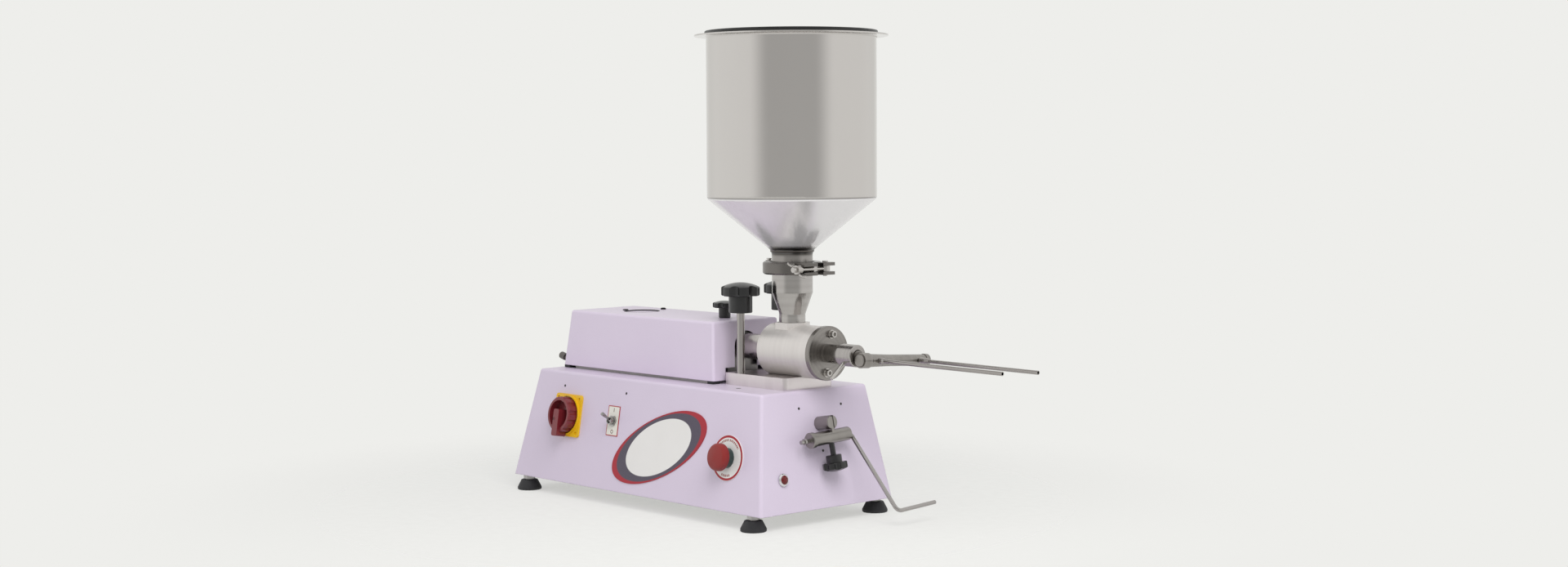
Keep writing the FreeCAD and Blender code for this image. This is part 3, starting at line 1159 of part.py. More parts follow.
node("reducer", turned([(red_in, inlet_top - red_seat + running), (inlet_bore, inlet_top - red_seat + running),
                        (inlet_bore, inlet_top + running), (red_r, inlet_top + running), (red_r, red_cone_low),
                        (throat_r, red_tube_low), (throat_r, seat_low - ferrule_t - 4),
                        (throat_r + 1, seat_low - ferrule_t - ferrule_neck),
                        (ferrule_r, seat_low - ferrule_t * 0.6), (ferrule_r, seat_low), (throat_in, seat_low),
                        (throat_in, red_tube_low), (red_in, red_cone_low)], spot(inlet_x, 0, 0)))

clamp_low = clamp_mid - clamp_h / 2
clamp_high = clamp_mid + clamp_h / 2
groove = ferrule_r + gap
groove_low = clamp_mid - gasket_t / 2 - ferrule_t * 0.6 - gap
groove_high = clamp_mid + gasket_t / 2 + ferrule_t * 0.6 + gap
ring = turned([(clamp_in, clamp_low), (clamp_r - 2, clamp_low), (clamp_r, clamp_low + 2), (clamp_r, clamp_high - 2),
               (clamp_r - 2, clamp_high), (clamp_in, clamp_high), (clamp_in, clamp_high - 3.5),
               (groove, groove_high), (groove, groove_low), (clamp_in, clamp_low + 3.5)], spot(inlet_x, 0, 0))
knuckle = rod(hinge_r, clamp_h, spot(inlet_x - hinge_x, 0, clamp_low))
web = block((inlet_x - hinge_x, -hinge_r, clamp_low), (inlet_x - clamp_r + 3, hinge_r, clamp_high))
ear_x = inlet_x + close_x
ear_out = ear_x + swing_bolt_r + 5
ear_root = inlet_x + clamp_r - 4
far_ear = block((ear_root, swing_y - 12, clamp_mid - ear_half), (ear_out, swing_y + 11, clamp_mid + ear_half))
near_ear = block((ear_root, nut_face + 0.2, clamp_mid - ear_half), (ear_out, -6, clamp_mid + ear_half))
bolt_way = block((ear_x - eye_r - gap, nut_face - 5, clamp_mid - ear_gap / 2), (ear_out + 5, swing_y + 20,
                 clamp_mid + ear_gap / 2))
pin_spots = [spot(inlet_x - hinge_x, 0, clamp_low - 1), spot(ear_x, swing_y, clamp_low - 2)]
pin_cuts = [rod(swing_r + running, clamp_h * 2, f"{at} * {spot(0, 0, -4)}") for at in pin_spots]
knuckle_top = block((inlet_x - hinge_x - hinge_r * 2, -hinge_r * 2, clamp_mid - clamp_h / 6),
                    (inlet_x - clamp_r + 2, hinge_r * 2, clamp_mid + clamp_h / 6))
far_keep = block((inlet_x - clamp_r * 3, clamp_split / 2, clamp_low - 5), (inlet_x + clamp_r * 3, clamp_r * 2,
                 clamp_high + 5))
near_keep = block((inlet_x - clamp_r * 3, -clamp_r * 2, clamp_low - 5), (inlet_x + clamp_r * 3, -clamp_split / 2,
                  clamp_high + 5))
far_half = add("Part::MultiCommon", Shapes=[join(ring, far_ear), far_keep])
near_half = add("Part::MultiCommon", Shapes=[join(ring, near_ear), near_keep])
far_knuckles = cut(join(knuckle, web), knuckle_top)
near_knuckle = add("Part::MultiCommon", Shapes=[join(knuckle, web), block(
    (inlet_x - hinge_x - hinge_r * 2, -hinge_r * 2, clamp_mid - clamp_h / 6 + gap),
    (inlet_x - clamp_r + 4, hinge_r * 2, clamp_mid + clamp_h / 6 - gap))])
half_far = cut(join(far_half, far_knuckles), bolt_way, *pin_cuts)
half_near = cut(join(near_half, near_knuckle), bolt_way, *pin_cuts)
node("clamp_halves", group(half_far, half_near))
pin_long = clamp_h + 4
swing_pins = [join(rod(swing_r, pin_long - 1, at), rod(swing_r + 1.2, 1.8, f"{at} * {spot(0, 0, pin_long - 1.6)}"))
              for at in pin_spots]
bolt_eye = turned([(swing_r + running, -eye_half), (eye_r, -eye_half), (eye_r, eye_half),
                   (swing_r + running, eye_half)], spot(ear_x, swing_y, clamp_mid))
bolt_shank = rod(swing_bolt_r, swing_y - swing_end - 5, spot(ear_x, swing_y - 5, clamp_mid, TO_NEAR))
swing_bolt = cut(join(bolt_eye, bolt_shank),
                 rod(swing_r + running, clamp_h, spot(ear_x, swing_y, clamp_mid - clamp_h / 2)))
node("clamp_bolt_and_pins", group(swing_bolt, *swing_pins))
wing_at = f"{spot(ear_x, nut_face, clamp_mid, TO_NEAR)} * placement(vector(0; 0; 0); " \
          f"rotation(vector(0; 0; 1); 0 - {words(wing_turn)}))"
wing_hub = turned([(swing_bolt_r + running, 0), (wing_hub_r + 1, 0), (wing_hub_r, wing_hub_l),
                   (swing_bolt_r + running, wing_hub_l)], wing_at)
wing_edge = wing_t * 0.6
wing_face = [(0, -wing_t), (wing_r - wing_edge, -wing_t), (wing_r, wing_edge - wing_t), (wing_r, wing_t - wing_edge),
             (wing_r - wing_edge, wing_t), (0, wing_t)]
wings = [turned(wing_face, f"{wing_at} * {spot(side * (wing_span - wing_r), 0, wing_hub_l * 0.75, TO_NEAR)}")
         for side in (-1, 1)]
web_t = wing_t * 0.8
wing_webs = block((wing_r - wing_span, -web_t, wing_hub_l * 0.2), (wing_span - wing_r, web_t, wing_hub_l * 0.95),
                  wing_at)
wing_bore = rod(swing_bolt_r + running, wing_hub_l * 3, f"{wing_at} * {spot(0, 0, -wing_hub_l)}")
node("wing_nut", cut(join(wing_hub, wing_webs, *wings), wing_bore))

# ---- clamp screws -------------------------------------------------------------------------------------------------
screw_low = base_top - sheet_t - nut_h
for name, side in (("near", -1), ("far", 1)):
    node(f"clamp_rod_{name}", turned([(0, screw_low), (rod_r - 1, screw_low), (rod_r, screw_low + 1),
                                      (rod_r, knob_low + knob_boss_h * 0.6), (0, knob_low + knob_boss_h * 0.6)],
                                     spot(rod_x, side * rod_y, 0)))
    node(f"clamp_knob_{name}", lobed(knob_r, knob_side, knob_dome, knob_boss_r, knob_boss_h, rod_r + running,
                                     knob_boss_h * 0.6 + running, knob_scallop, knob_lobes, knob_edge,
                                     spot(rod_x, side * rod_y, knob_low)))

# ---- trip lever ---------------------------------------------------------------------------------------------------
stub = turned([(0, -sheet_t - trip_box_d * 0.6), (trip_pin_r, -sheet_t - trip_box_d * 0.6), (trip_pin_r, gap * 2),
               (trip_r, gap * 2), (trip_r, trip_long - 1), (trip_r - 1, trip_long), (0, trip_long)], on_trip())
stub_slot = block((-trip_slot / 2, -trip_r * 1.2, trip_long - trip_slot_deep), (trip_slot / 2, trip_r * 1.2,
                  trip_long + 1), on_trip())
node("trip_shaft", cut(stub, stub_slot))
cross_at = on_trip(0, -trip_cross_drop, trip_cross_z, ALONG_X)
cross = turned([(trip_rod_r + running, -trip_cross_half), (trip_r, -trip_cross_half), (trip_r, trip_cross_half - 1),
                (trip_r - 1, trip_cross_half), (trip_rod_r + running, trip_cross_half)], cross_at)
ring_nut = turned([(trip_rod_r + running, -trip_cross_half - trip_ring_l), (trip_ring_r - 1,
                   -trip_cross_half - trip_ring_l), (trip_ring_r, -trip_cross_half - trip_ring_l + 1),
                   (trip_ring_r, -trip_cross_half), (trip_rod_r + running, -trip_cross_half)], cross_at)
tongue = block((-trip_slot / 2 + running, -trip_cross_drop, trip_long - trip_slot_deep + running * 2),
               (trip_slot / 2 - running, trip_r * 0.8, trip_long - 1), on_trip())
cross_bore_rod = rod(trip_rod_r + running, trip_cross_half * 4, f"{cross_at} * {spot(0, 0, -trip_cross_half * 2)}")
elbow_way = rod(trip_rod_r + trip_mouth, trip_bend, f"{cross_at} * {spot(0, 0, trip_elbow - trip_bend - gap)}")
knob_way = on_trip(0, -trip_cross_drop, trip_cross_z, TO_NEAR)
stem_hole = rod(tk_stem_r + running, trip_r * 1.5, f"{knob_way} * {spot(0, 0, trip_rod_r * 0.5)}")
node("trip_clamp", cut(join(cross, ring_nut, tongue), cross_bore_rod, elbow_way, stem_hole))

leg_frame = f"{on_trip(0, -trip_cross_drop, trip_cross_z)} * placement(vector(0; 0; 0); " \
            f"rotation(vector(1; 0; 0); 0 - {words(trip_pitch)}))"
elbow = trip_elbow - trip_bend
straight = rod(trip_rod_r, trip_rod_start + elbow, f"{leg_frame} * {spot(-trip_rod_start, 0, 0, ALONG_X)}")
leg = rod(trip_rod_r, trip_leg - trip_bend * 2, f"{leg_frame} * {spot(trip_elbow, -trip_bend, 0, TO_NEAR)}")
low_bar = rod(trip_rod_r, trip_bar - trip_bend,
              f"{leg_frame} * {spot(trip_elbow + trip_bend, -trip_leg, 0, ALONG_X)}")
bend_one = add("Part::Torus", Radius1=trip_bend, Radius2=trip_rod_r, Angle3=90.0,
               at=f"{leg_frame} * {spot(elbow, -trip_bend, 0)}")
bend_two = add("Part::Torus", Radius1=trip_bend, Radius2=trip_rod_r, Angle3=90.0,
               at=f"{leg_frame} * {spot(trip_elbow + trip_bend, trip_bend - trip_leg, 0)} * "
                  f"placement(vector(0; 0; 0); rotation(vector(0; 0; 1); 180))")
tip = turned([(trip_rod_r * 0.5, 0), (trip_collar_r, 0), (trip_collar_r, trip_tip_w), (trip_rod_r * 0.5, trip_tip_w)],
             f"{leg_frame} * {spot(trip_tip_x - trip_rod_start, 0, 0, ALONG_X)}")
node("trip_rod", join(straight, leg, low_bar, bend_one, bend_two, tip))

knob_points, low, high = knob_profile(tk_r, tk_side, tk_dome, tk_boss_r, tk_boss_h, tk_stem_r * 0.5, tk_boss_h * 0.5)
trip_head = star_knob(knob_points, tk_r, low, high, tk_scallop, knob_lobes, ck_edge,
                      f"{knob_way} * {spot(0, 0, tk_head - tk_side / 2 - tk_boss_h)}")
trip_stem = rod(tk_stem_r, tk_head - tk_side - trip_rod_r, f"{knob_way} * {spot(0, 0, trip_rod_r + gap)}")
node("trip_knob", join(trip_head, trip_stem))
trip_body = block((-trip_box_w / 2, -trip_box_h / 2, -sheet_t - trip_box_d),
                  (trip_box_w / 2, trip_box_h / 2, -sheet_t),
                  on_front(0, trip_z))
node("trip_switch", cut(trip_body, rod(trip_pin_r + running, trip_box_d, on_front(0, trip_z, -sheet_t
                                                                                  - trip_box_d * 0.65))))

# ---- write --------------------------------------------------------------------------------------------------------
doc.recompute()
bad = [f"{item.Name} {item.Label} {item.State}" for item in doc.Objects
       if "Invalid" in item.State or "Error" in item.State]
if bad:
    raise RuntimeError(f"{len(bad)} objects not computed: {bad[:12]}")
os.makedirs("parts", exist_ok=True)
for old in os.listdir("parts"):
    os.remove(os.path.join("parts", old))
for name, item in nodes.items():
    shape = item.Shape
    if shape.isNull() or not shape.isValid() or not shape.Solids:
        raise RuntimeError(f"{name}: shape is not a valid solid")
    box = shape.BoundBox
    print(f"{name:24s} solids {len(shape.Solids)} volume {shape.Volume:12.1f}  x {box.XMin:7.1f} {box.XMax:7.1f}"
          f"  y {box.YMin:7.1f} {box.YMax:7.1f}  z {box.ZMin:7.1f} {box.ZMax:7.1f}")
    shape.exportStep(f"parts/{name}.step")
print(len(nodes), "nodes,", len(rows), "driving dimensions")
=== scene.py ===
# %% [markdown]
# # Dressing a twin-needle filling machine
# The machine fills donuts and buns with cream. A folded, powder-coated housing stands on four rubber
# feet. A piston pump lies on top of it, a polished hopper stands on the pump, and a cross manifold
# carries two long filling needles. The solids come from the CAD model and stay as they are: this
# lesson gives each one a finish, adds the fine parts that a maker sees up close, and lights them.

# %% Load the machine
import math

import bpy
from mathutils import Matrix, Vector


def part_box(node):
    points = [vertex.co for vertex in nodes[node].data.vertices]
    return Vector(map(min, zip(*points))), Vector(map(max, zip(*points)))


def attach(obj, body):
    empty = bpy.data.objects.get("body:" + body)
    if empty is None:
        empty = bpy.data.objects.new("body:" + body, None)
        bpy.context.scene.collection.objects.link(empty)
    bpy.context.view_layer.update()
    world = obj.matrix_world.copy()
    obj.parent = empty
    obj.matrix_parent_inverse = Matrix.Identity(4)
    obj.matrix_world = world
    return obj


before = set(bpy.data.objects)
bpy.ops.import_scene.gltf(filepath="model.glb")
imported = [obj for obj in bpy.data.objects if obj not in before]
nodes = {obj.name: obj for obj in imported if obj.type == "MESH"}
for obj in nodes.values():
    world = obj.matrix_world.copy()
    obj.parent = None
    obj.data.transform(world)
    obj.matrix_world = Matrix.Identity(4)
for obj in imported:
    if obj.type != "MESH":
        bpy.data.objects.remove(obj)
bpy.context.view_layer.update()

# %% [markdown]
# ## The view
# A long lens looks from a little above the bench, so the machine keeps its upright lines. A camera
# could be aimed with a Track To constraint, but that leaves its roll to the constraint. Here the
# three axes of the camera are worked out from two angles and a slight roll, so the view is set by
# numbers with a meaning.

# %% Place the camera
VIEW_TURN = math.radians(47.63)
VIEW_DROP = math.radians(3.70)
VIEW_ROLL = math.radians(-0.30)
CAMERA_AT = Vector((2.56890, -2.16294, 0.54496))
LENS = 50.198
SHIFT = (0.00172, 0.00264)

towards_camera = Vector((
    math.sin(VIEW_TURN) * math.cos(VIEW_DROP),
    -math.cos(VIEW_TURN) * math.cos(VIEW_DROP),
    math.sin(VIEW_DROP),
))
level_right = (-towards_camera).cross(Vector((0, 0, 1))).normalized()
level_up = level_right.cross(-towards_camera)
image_right = math.cos(VIEW_ROLL) * level_right + math.sin(VIEW_ROLL) * level_up
image_up = -math.sin(VIEW_ROLL) * level_right + math.cos(VIEW_ROLL) * level_up

camera_data = bpy.data.cameras.new("bench_camera")
camera_data.sensor_width = 36
camera_data.lens = LENS
camera_data.shift_x, camera_data.shift_y = SHIFT
camera = bpy.data.objects.new("bench_camera", camera_data)
axes = Matrix((image_right, image_up, towards_camera)).transposed()
camera.matrix_world = Matrix.Translation(CAMERA_AT) @ axes.to_4x4()
bpy.context.scene.collection.objects.link(camera)
bpy.context.scene.camera = camera
bpy.context.scene.view_settings.view_transform = "Standard"
print("camera at", tuple(round(v, 3) for v in CAMERA_AT))

# %% [markdown]
# ## Small helpers for shaders
# Shader trees are graphs of nodes. Writing each link by hand hides the idea, so a few helpers do the
# typing. One adds a node and joins its inputs, and the next four use it for sums, smooth steps and
# mixed colours. One more turns an everyday colour, given as 0 to 255 for red, green and blue, into
# the linear colour that the renderer counts in.


# %% Shader helpers
def linear(red, green, blue):
    """An everyday colour as the renderer's linear one, with full alpha."""
    def one(value):
        value = value / 255
        return value / 12.92 if value <= 0.04045 else ((value + 0.055) / 1.055) ** 2.4
    return (one(red), one(green), one(blue), 1)


def place(tree, kind, inputs=None, **options):
    """Adds one shader node, sets its options, and sets or joins its inputs."""
    made = tree.nodes.new(kind)
    for option, value in options.items():
        setattr(made, option, value)
    for name, value in (inputs or {}).items():
        if isinstance(value, bpy.types.NodeSocket):
            tree.links.new(value, made.inputs[name])
        else:
            made.inputs[name].default_value = value
    return made


def work_out(tree, operation, *values):
    """One Math node: its operation on two or three values or sockets."""
    return place(tree, "ShaderNodeMath", dict(enumerate(values)), operation=operation).outputs[0]


def vector_sum(tree, operation, *values):
    """One Vector Math node. Dot products and lengths come out as a value, the rest as a vector."""
    made = place(tree, "ShaderNodeVectorMath", dict(enumerate(values)), operation=operation)
    return made.outputs["Value" if operation in ("DOT_PRODUCT", "LENGTH") else "Vector"]


def band(tree, value, low, high, first=0.0, last=1.0):
    """Maps low to high onto first to last with a smooth start and end."""
    made = place(tree, "ShaderNodeMapRange", {0: value, 1: low, 2: high, 3: first, 4: last},
                 interpolation_type="SMOOTHSTEP")
    return made.outputs[0]


def blend_colours(tree, share, first, second):
    """Mixes two colours by a share from 0 to 1."""
    made = place(tree, "ShaderNodeMix", {0: share, 6: first, 7: second}, data_type="RGBA")
    return made.outputs[2]


print("shader helpers ready")

# %% [markdown]
# ## Studio
# Polished steel shows the room more than itself. The room here is that of a plain product studio: a
# pale backdrop behind the machine, a soft white wall on either side, a white ceiling, and a calmer
# grey behind the camera. It could be built from cards and softboxes, but each card would also shade
# the machine. A world that answers by direction gives the same room with no clutter. The camera and
# every shiny surface see this one room, no part of it is brighter than white, and matt surfaces are
# lit by one even tone.

# %% Paint the studio round the machine
BACKDROP = linear(238, 238, 235)
SIDE_WALL = linear(252, 252, 250)
CAMERA_WALL = linear(200, 200, 198)
AMBIENT = linear(206, 206, 208)
AMBIENT_LEVEL = 0.92
WALL_STARTS, WALL_FULL = 30, 60  # degrees away from the camera, the same to the left and right
WALL_FADES, BACKDROP_FULL = 120, 150
CEILING_STARTS, CEILING_FULL = 0.35, 0.75  # upward part of the direction
BENCH_STARTS, BENCH_FULL = -0.05, -0.30

world = bpy.data.worlds.new("studio")
bpy.context.scene.world = world
world.use_nodes = True
sky = world.node_tree
sky.nodes.clear()
direction = place(sky, "ShaderNodeTexCoord").outputs["Generated"]
split = place(sky, "ShaderNodeSeparateXYZ", {0: direction}).outputs
turn = work_out(sky, "ARCTAN2", split["X"], work_out(sky, "MULTIPLY", split["Y"], -1))
turn = work_out(sky, "SUBTRACT", turn, VIEW_TURN)
turn = work_out(sky, "WRAP", turn, math.pi, -math.pi)
away = work_out(sky, "ABSOLUTE", turn)
on_wall = band(sky, away, math.radians(WALL_STARTS), math.radians(WALL_FULL))
room = blend_colours(sky, on_wall, CAMERA_WALL, SIDE_WALL)
on_backdrop = band(sky, away, math.radians(WALL_FADES), math.radians(BACKDROP_FULL))
room = blend_colours(sky, on_backdrop, room, BACKDROP)
overhead = band(sky, split["Z"], CEILING_STARTS, CEILING_FULL)
room = blend_colours(sky, overhead, room, SIDE_WALL)
below = band(sky, split["Z"], BENCH_STARTS, BENCH_FULL)
room = blend_colours(sky, below, room, BACKDROP)
rays = place(sky, "ShaderNodeLightPath").outputs
shiny = work_out(sky, "MAXIMUM", rays["Is Glossy Ray"], rays["Is Transmission Ray"])
shown = work_out(sky, "MAXIMUM", rays["Is Camera Ray"], shiny)
seen = place(sky, "ShaderNodeBackground", {0: room, 1: 1.0}).outputs[0]
ambient = place(sky, "ShaderNodeBackground", {0: AMBIENT, 1: AMBIENT_LEVEL}).outputs[0]
final = place(sky, "ShaderNodeMixShader", {0: shown, 1: ambient, 2: seen}).outputs[0]
place(sky, "ShaderNodeOutputWorld", {0: final})
print("studio painted: camera wall, two side walls, ceiling and backdrop")


# %% [markdown]
# ## Lamps and floor
# One large softbox hangs above and in front of the machine: it draws the soft shadows under the
# pump, the knobs and the trip lever. A weaker one fills from the side of the controls. The floor is
# a round sheet that lets much of the backdrop through and fades out before its edge, so the bench
# has no horizon but keeps the shadow.

# %% Hang the lamps and lay the floor
def softbox(name, at, aim, size, power):
    """A square area lamp that looks at a point. Its own shape stays out of reflections."""
    lamp = bpy.data.lights.new(name, "AREA")
    lamp.shape = "SQUARE"
    lamp.size = size
    lamp.energy = power
    made = bpy.data.objects.new(name, lamp)
    made.location = at
    made.rotation_euler = (Vector(at) - Vector(aim)).to_track_quat("Z", "Y").to_euler()
    made.visible_glossy = False
    bpy.context.scene.collection.objects.link(made)
    return made


softbox("key_softbox", at=(1.5, -0.8, 1.6), aim=(0.1, 0, 0.2), size=1.3, power=29)
softbox("side_softbox", at=(-0.9, -2.0, 0.9), aim=(0, 0, 0.2), size=1.2, power=4)

FLOOR_RADIUS, FLOOR_FULL, FLOOR_GONE = 1.5, 0.35, 0.95
FLOOR_SHARE = 0.42
bpy.ops.object.select_all(action="DESELECT")
bpy.ops.mesh.primitive_circle_add(vertices=96, radius=FLOOR_RADIUS, fill_type="NGON",
                                  location=(0, 0, 0))
floor = bpy.context.object
floor.name = "bench_floor"
paper = bpy.data.materials.new("pale_bench")
paper.use_nodes = True
tree = paper.node_tree
tree.nodes.clear()
where = place(tree, "ShaderNodeTexCoord").outputs["Object"]
reach = vector_sum(tree, "LENGTH", where)
grain = place(tree, "ShaderNodeTexNoise",
              {"Vector": where, "Scale": 60.0, "Detail": 3.0}).outputs[0]
tone = blend_colours(tree, grain, linear(234, 234, 230), linear(242, 242, 238))
sheet = place(tree, "ShaderNodeBsdfDiffuse", {"Color": tone}).outputs[0]
nothing = place(tree, "ShaderNodeBsdfTransparent").outputs[0]
kept = band(tree, reach, FLOOR_GONE, FLOOR_FULL, 0.0, FLOOR_SHARE)
mixed = place(tree, "ShaderNodeMixShader", {0: kept, 1: nothing, 2: sheet}).outputs[0]
place(tree, "ShaderNodeOutputMaterial", {0: mixed})
floor.data.materials.append(paper)
print("lamps: 2, floor radius", FLOOR_RADIUS, "m")

# %% [markdown]
# ## Shared surface effects
# The same few things happen to many finishes: a fine grain from the mould or the powder gun, lines
# left by a brush or a lathe tool, and the faint marks of hands. Each becomes a node group with named
# inputs and outputs, built once and dialled in for each finish. The groups give out only tones,
# masks and heights that change over the surface. The shader itself stays in the material.


# %% Node groups
def group(name, inputs, outputs):
    """Starts a node group and returns it with its inner input and output sockets."""
    made = bpy.data.node_groups.new(name, "ShaderNodeTree")
    for label, kind, value in inputs:
        socket = made.interface.new_socket(name=label, in_out="INPUT", socket_type=kind)
        socket.default_value = value
    for label in outputs:
        made.interface.new_socket(name=label, in_out="OUTPUT", socket_type="NodeSocketFloat")
    start = made.nodes.new("NodeGroupInput").outputs
    return made, start


def close_group(made, results):
    """Joins the results to the group's outputs."""
    end = made.nodes.new("NodeGroupOutput")
    for label, value in results.items():
        made.links.new(value, end.inputs[label])


VECTOR, NUMBER = "NodeSocketVector", "NodeSocketFloat"

fine_grain, start = group(
    "fine_grain", [("Place", VECTOR, (0, 0, 0)), ("Grain", NUMBER, 900.0), ("Drift", NUMBER, 9.0)],
    ["Height", "Tone"])
small = place(fine_grain, "ShaderNodeTexNoise",
              {"Vector": start["Place"], "Scale": start["Grain"], "Detail": 2.0, "Roughness": 0.55})
large = place(fine_grain, "ShaderNodeTexNoise",
              {"Vector": start["Place"], "Scale": start["Drift"], "Detail": 3.0, "Roughness": 0.6})
close_group(fine_grain, {"Height": small.outputs[0], "Tone": large.outputs[0]})

brushed_lines, start = group(
    "brushed_lines", [("Place", VECTOR, (0, 0, 0)), ("Lines", VECTOR, (20, 20, 900))],
    ["Height", "Tone"])
drawn = vector_sum(brushed_lines, "MULTIPLY", start["Place"], start["Lines"])
hair = place(brushed_lines, "ShaderNodeTexNoise",
             {"Vector": drawn, "Scale": 1.0, "Detail": 4.0, "Roughness": 0.65})
streak = place(brushed_lines, "ShaderNodeTexNoise",
               {"Vector": vector_sum(brushed_lines, "MULTIPLY", drawn, (0.07, 0.07, 0.07)),
                "Scale": 1.0, "Detail": 2.0, "Roughness": 0.5})
close_group(brushed_lines, {"Height": hair.outputs[0], "Tone": streak.outputs[0]})

lathe_lines, start = group(
    "lathe_lines",
    [("Place", VECTOR, (0, 0, 0)), ("Centre", VECTOR, (0, 0, 0)), ("Across", VECTOR, (0, 1, 1)),
     ("Along", VECTOR, (1, 0, 0)), ("Pitch", NUMBER, 1500.0)],
    ["Height", "Tone"])
off_centre = vector_sum(lathe_lines, "SUBTRACT", start["Place"], start["Centre"])
sideways_only = vector_sum(lathe_lines, "MULTIPLY", off_centre, start["Across"])
radius = vector_sum(lathe_lines, "LENGTH", sideways_only)
length = vector_sum(lathe_lines, "DOT_PRODUCT", off_centre, start["Along"])
tool_path = place(lathe_lines, "ShaderNodeCombineXYZ", {
    0: work_out(lathe_lines, "MULTIPLY", radius, start["Pitch"]),
    1: work_out(lathe_lines, "MULTIPLY", length, start["Pitch"])}).outputs[0]
feed = place(lathe_lines, "ShaderNodeTexNoise",
             {"Vector": tool_path, "Scale": 1.0, "Detail": 3.0, "Roughness": 0.6})
pass_marks = place(lathe_lines, "ShaderNodeTexNoise",
                   {"Vector": vector_sum(lathe_lines, "MULTIPLY", tool_path, (0.09, 0.09, 0.09)),
                    "Scale": 1.0, "Detail": 1.0})
close_group(lathe_lines, {"Height": feed.outputs[0], "Tone": pass_marks.outputs[0]})

hand_marks, start = group(
    "hand_marks", [("Place", VECTOR, (0, 0, 0)), ("Size", NUMBER, 14.0), ("Amount", NUMBER, 1.0)],
    ["Mask"])
cloud = place(hand_marks, "ShaderNodeTexNoise",
              {"Vector": start["Place"], "Scale": start["Size"], "Detail": 5.0, "Roughness": 0.6,
               "Distortion": 0.8})
smears = band(hand_marks, cloud.outputs[0], 0.42, 0.68)
close_group(hand_marks, {"Mask": work_out(hand_marks, "MULTIPLY", smears, start["Amount"])})
print("groups:", [g.name for g in (fine_grain, brushed_lines, lathe_lines, hand_marks)])

# %% [markdown]
# ## A finish from its parts
# Every finish starts the same way: a Principled shader, the place on the piece, and a Bevel node
# that rounds the light on sharp edges as a deburring file does. One function lays that base. What
# makes each finish itself, its grain, lines or print, is then joined in its own few lines.


# %% The base of every finish
class Finish:
    """One material: its shader tree, its Principled shader and the place on the piece."""

    def __init__(self, name, roughness, metallic=0.0, coat=0.0, coat_roughness=0.06, ior=1.5,
                 edge=0.0004):
        self.material = bpy.data.materials.new(name)
        self.material.use_nodes = True
        self.tree = self.material.node_tree
        self.tree.nodes.clear()
        self.shader = place(self.tree, "ShaderNodeBsdfPrincipled", {
            "Roughness": roughness, "Metallic": metallic, "IOR": ior,
            "Coat Weight": coat, "Coat Roughness": coat_roughness})
        place(self.tree, "ShaderNodeOutputMaterial", {0: self.shader.outputs[0]})
        self.where = place(self.tree, "ShaderNodeTexCoord").outputs["Object"]
        self.edge = edge

    def effect(self, kind, **values):
        """Places one of the shared groups here and returns its outputs."""
        made = self.tree.nodes.new("ShaderNodeGroup")
        made.node_tree = kind
        self.tree.links.new(self.where, made.inputs["Place"])
        for label, value in values.items():
            made.inputs[label].default_value = value
        return made.outputs

    def join(self, **sockets):
        """Joins values to the Principled shader: Base_Color, Roughness and so on."""
        for label, value in sockets.items():
            self.tree.links.new(value, self.shader.inputs[label.replace("_", " ")])

    def relief(self, height, depth):
        """Turns a height into relief of that depth in metres, over softened edges."""
        rounded = place(self.tree, "ShaderNodeBevel", {"Radius": self.edge}, samples=4)
        bump = place(self.tree, "ShaderNodeBump",
                     {"Height": height, "Strength": 1.0, "Distance": depth,
                      "Normal": rounded.outputs[0]})
        self.join(Normal=bump.outputs[0])


dressed = set()


def dress(finish, *names):
    """Gives the finish to these solids."""
    for name in names:
        slots = nodes[name].data.materials
        slots.clear()
        slots.append(finish.material)
        dressed.add(name)


print("finish builder ready")


# %% [markdown]
# ## Powder coat
# The housing and the drive cover are bent sheet steel with a lilac powder coat. Baked powder flows
# into a skin with a faint orange peel: soft highlights, never a mirror. The peel is a low noise in
# the bump, and a slow drift keeps the large panels from looking like one flat swatch.

# %% Lilac powder coat
def powder_coat(name, dark, light):
    """Baked powder on sheet steel: orange peel, a slow drift of tone and a soft clear top."""
    coat = Finish(name, roughness=0.42, coat=0.25, coat_roughness=0.30, edge=0.0015)
    tree = coat.tree
    peel = coat.effect(fine_grain, Grain=420.0, Drift=6.0)
    colour = blend_colours(tree, peel["Tone"], linear(*dark), linear(*light))
    marks = coat.effect(hand_marks, Size=9.0, Amount=0.06)
    coat.join(
        Base_Color=colour,
        Roughness=work_out(tree, "ADD", work_out(tree, "MULTIPLY", peel["Tone"], 0.10), 0.36))
    coat.relief(work_out(tree, "ADD", peel["Height"], marks["Mask"]), 0.00012)
    return coat


dress(powder_coat("lilac_housing_coat", (209, 196, 214), (218, 206, 223)), "base_housing")
# The cover's coat is a lighter copy of the housing's: a painted lighter tone for the extra light on
# the cover.
dress(powder_coat("lilac_cover_coat_painted_lighter", (218, 205, 223), (227, 215, 231)), "drive_cover")
print("powder coat on the housing and the cover")


# %% [markdown]
# ## Stainless steel
# Nearly everything above the housing is stainless, but not one stainless. Sheet is brushed in one
# direction, turned parts carry the rings of the lathe tool, cast parts are tumbled and needles are
# polished. All of it is the same warm grey, darker on the parts that are dull: what changes most is
# how the lines run and how sharp the reflections stay.

# %% Steel finishes
STEEL_DARK = linear(176, 172, 168)
STEEL_LIGHT = linear(206, 203, 200)
DULL_DARK = linear(132, 128, 124)
DULL_LIGHT = linear(162, 158, 154)
ROUGH_SPREAD = 0.10


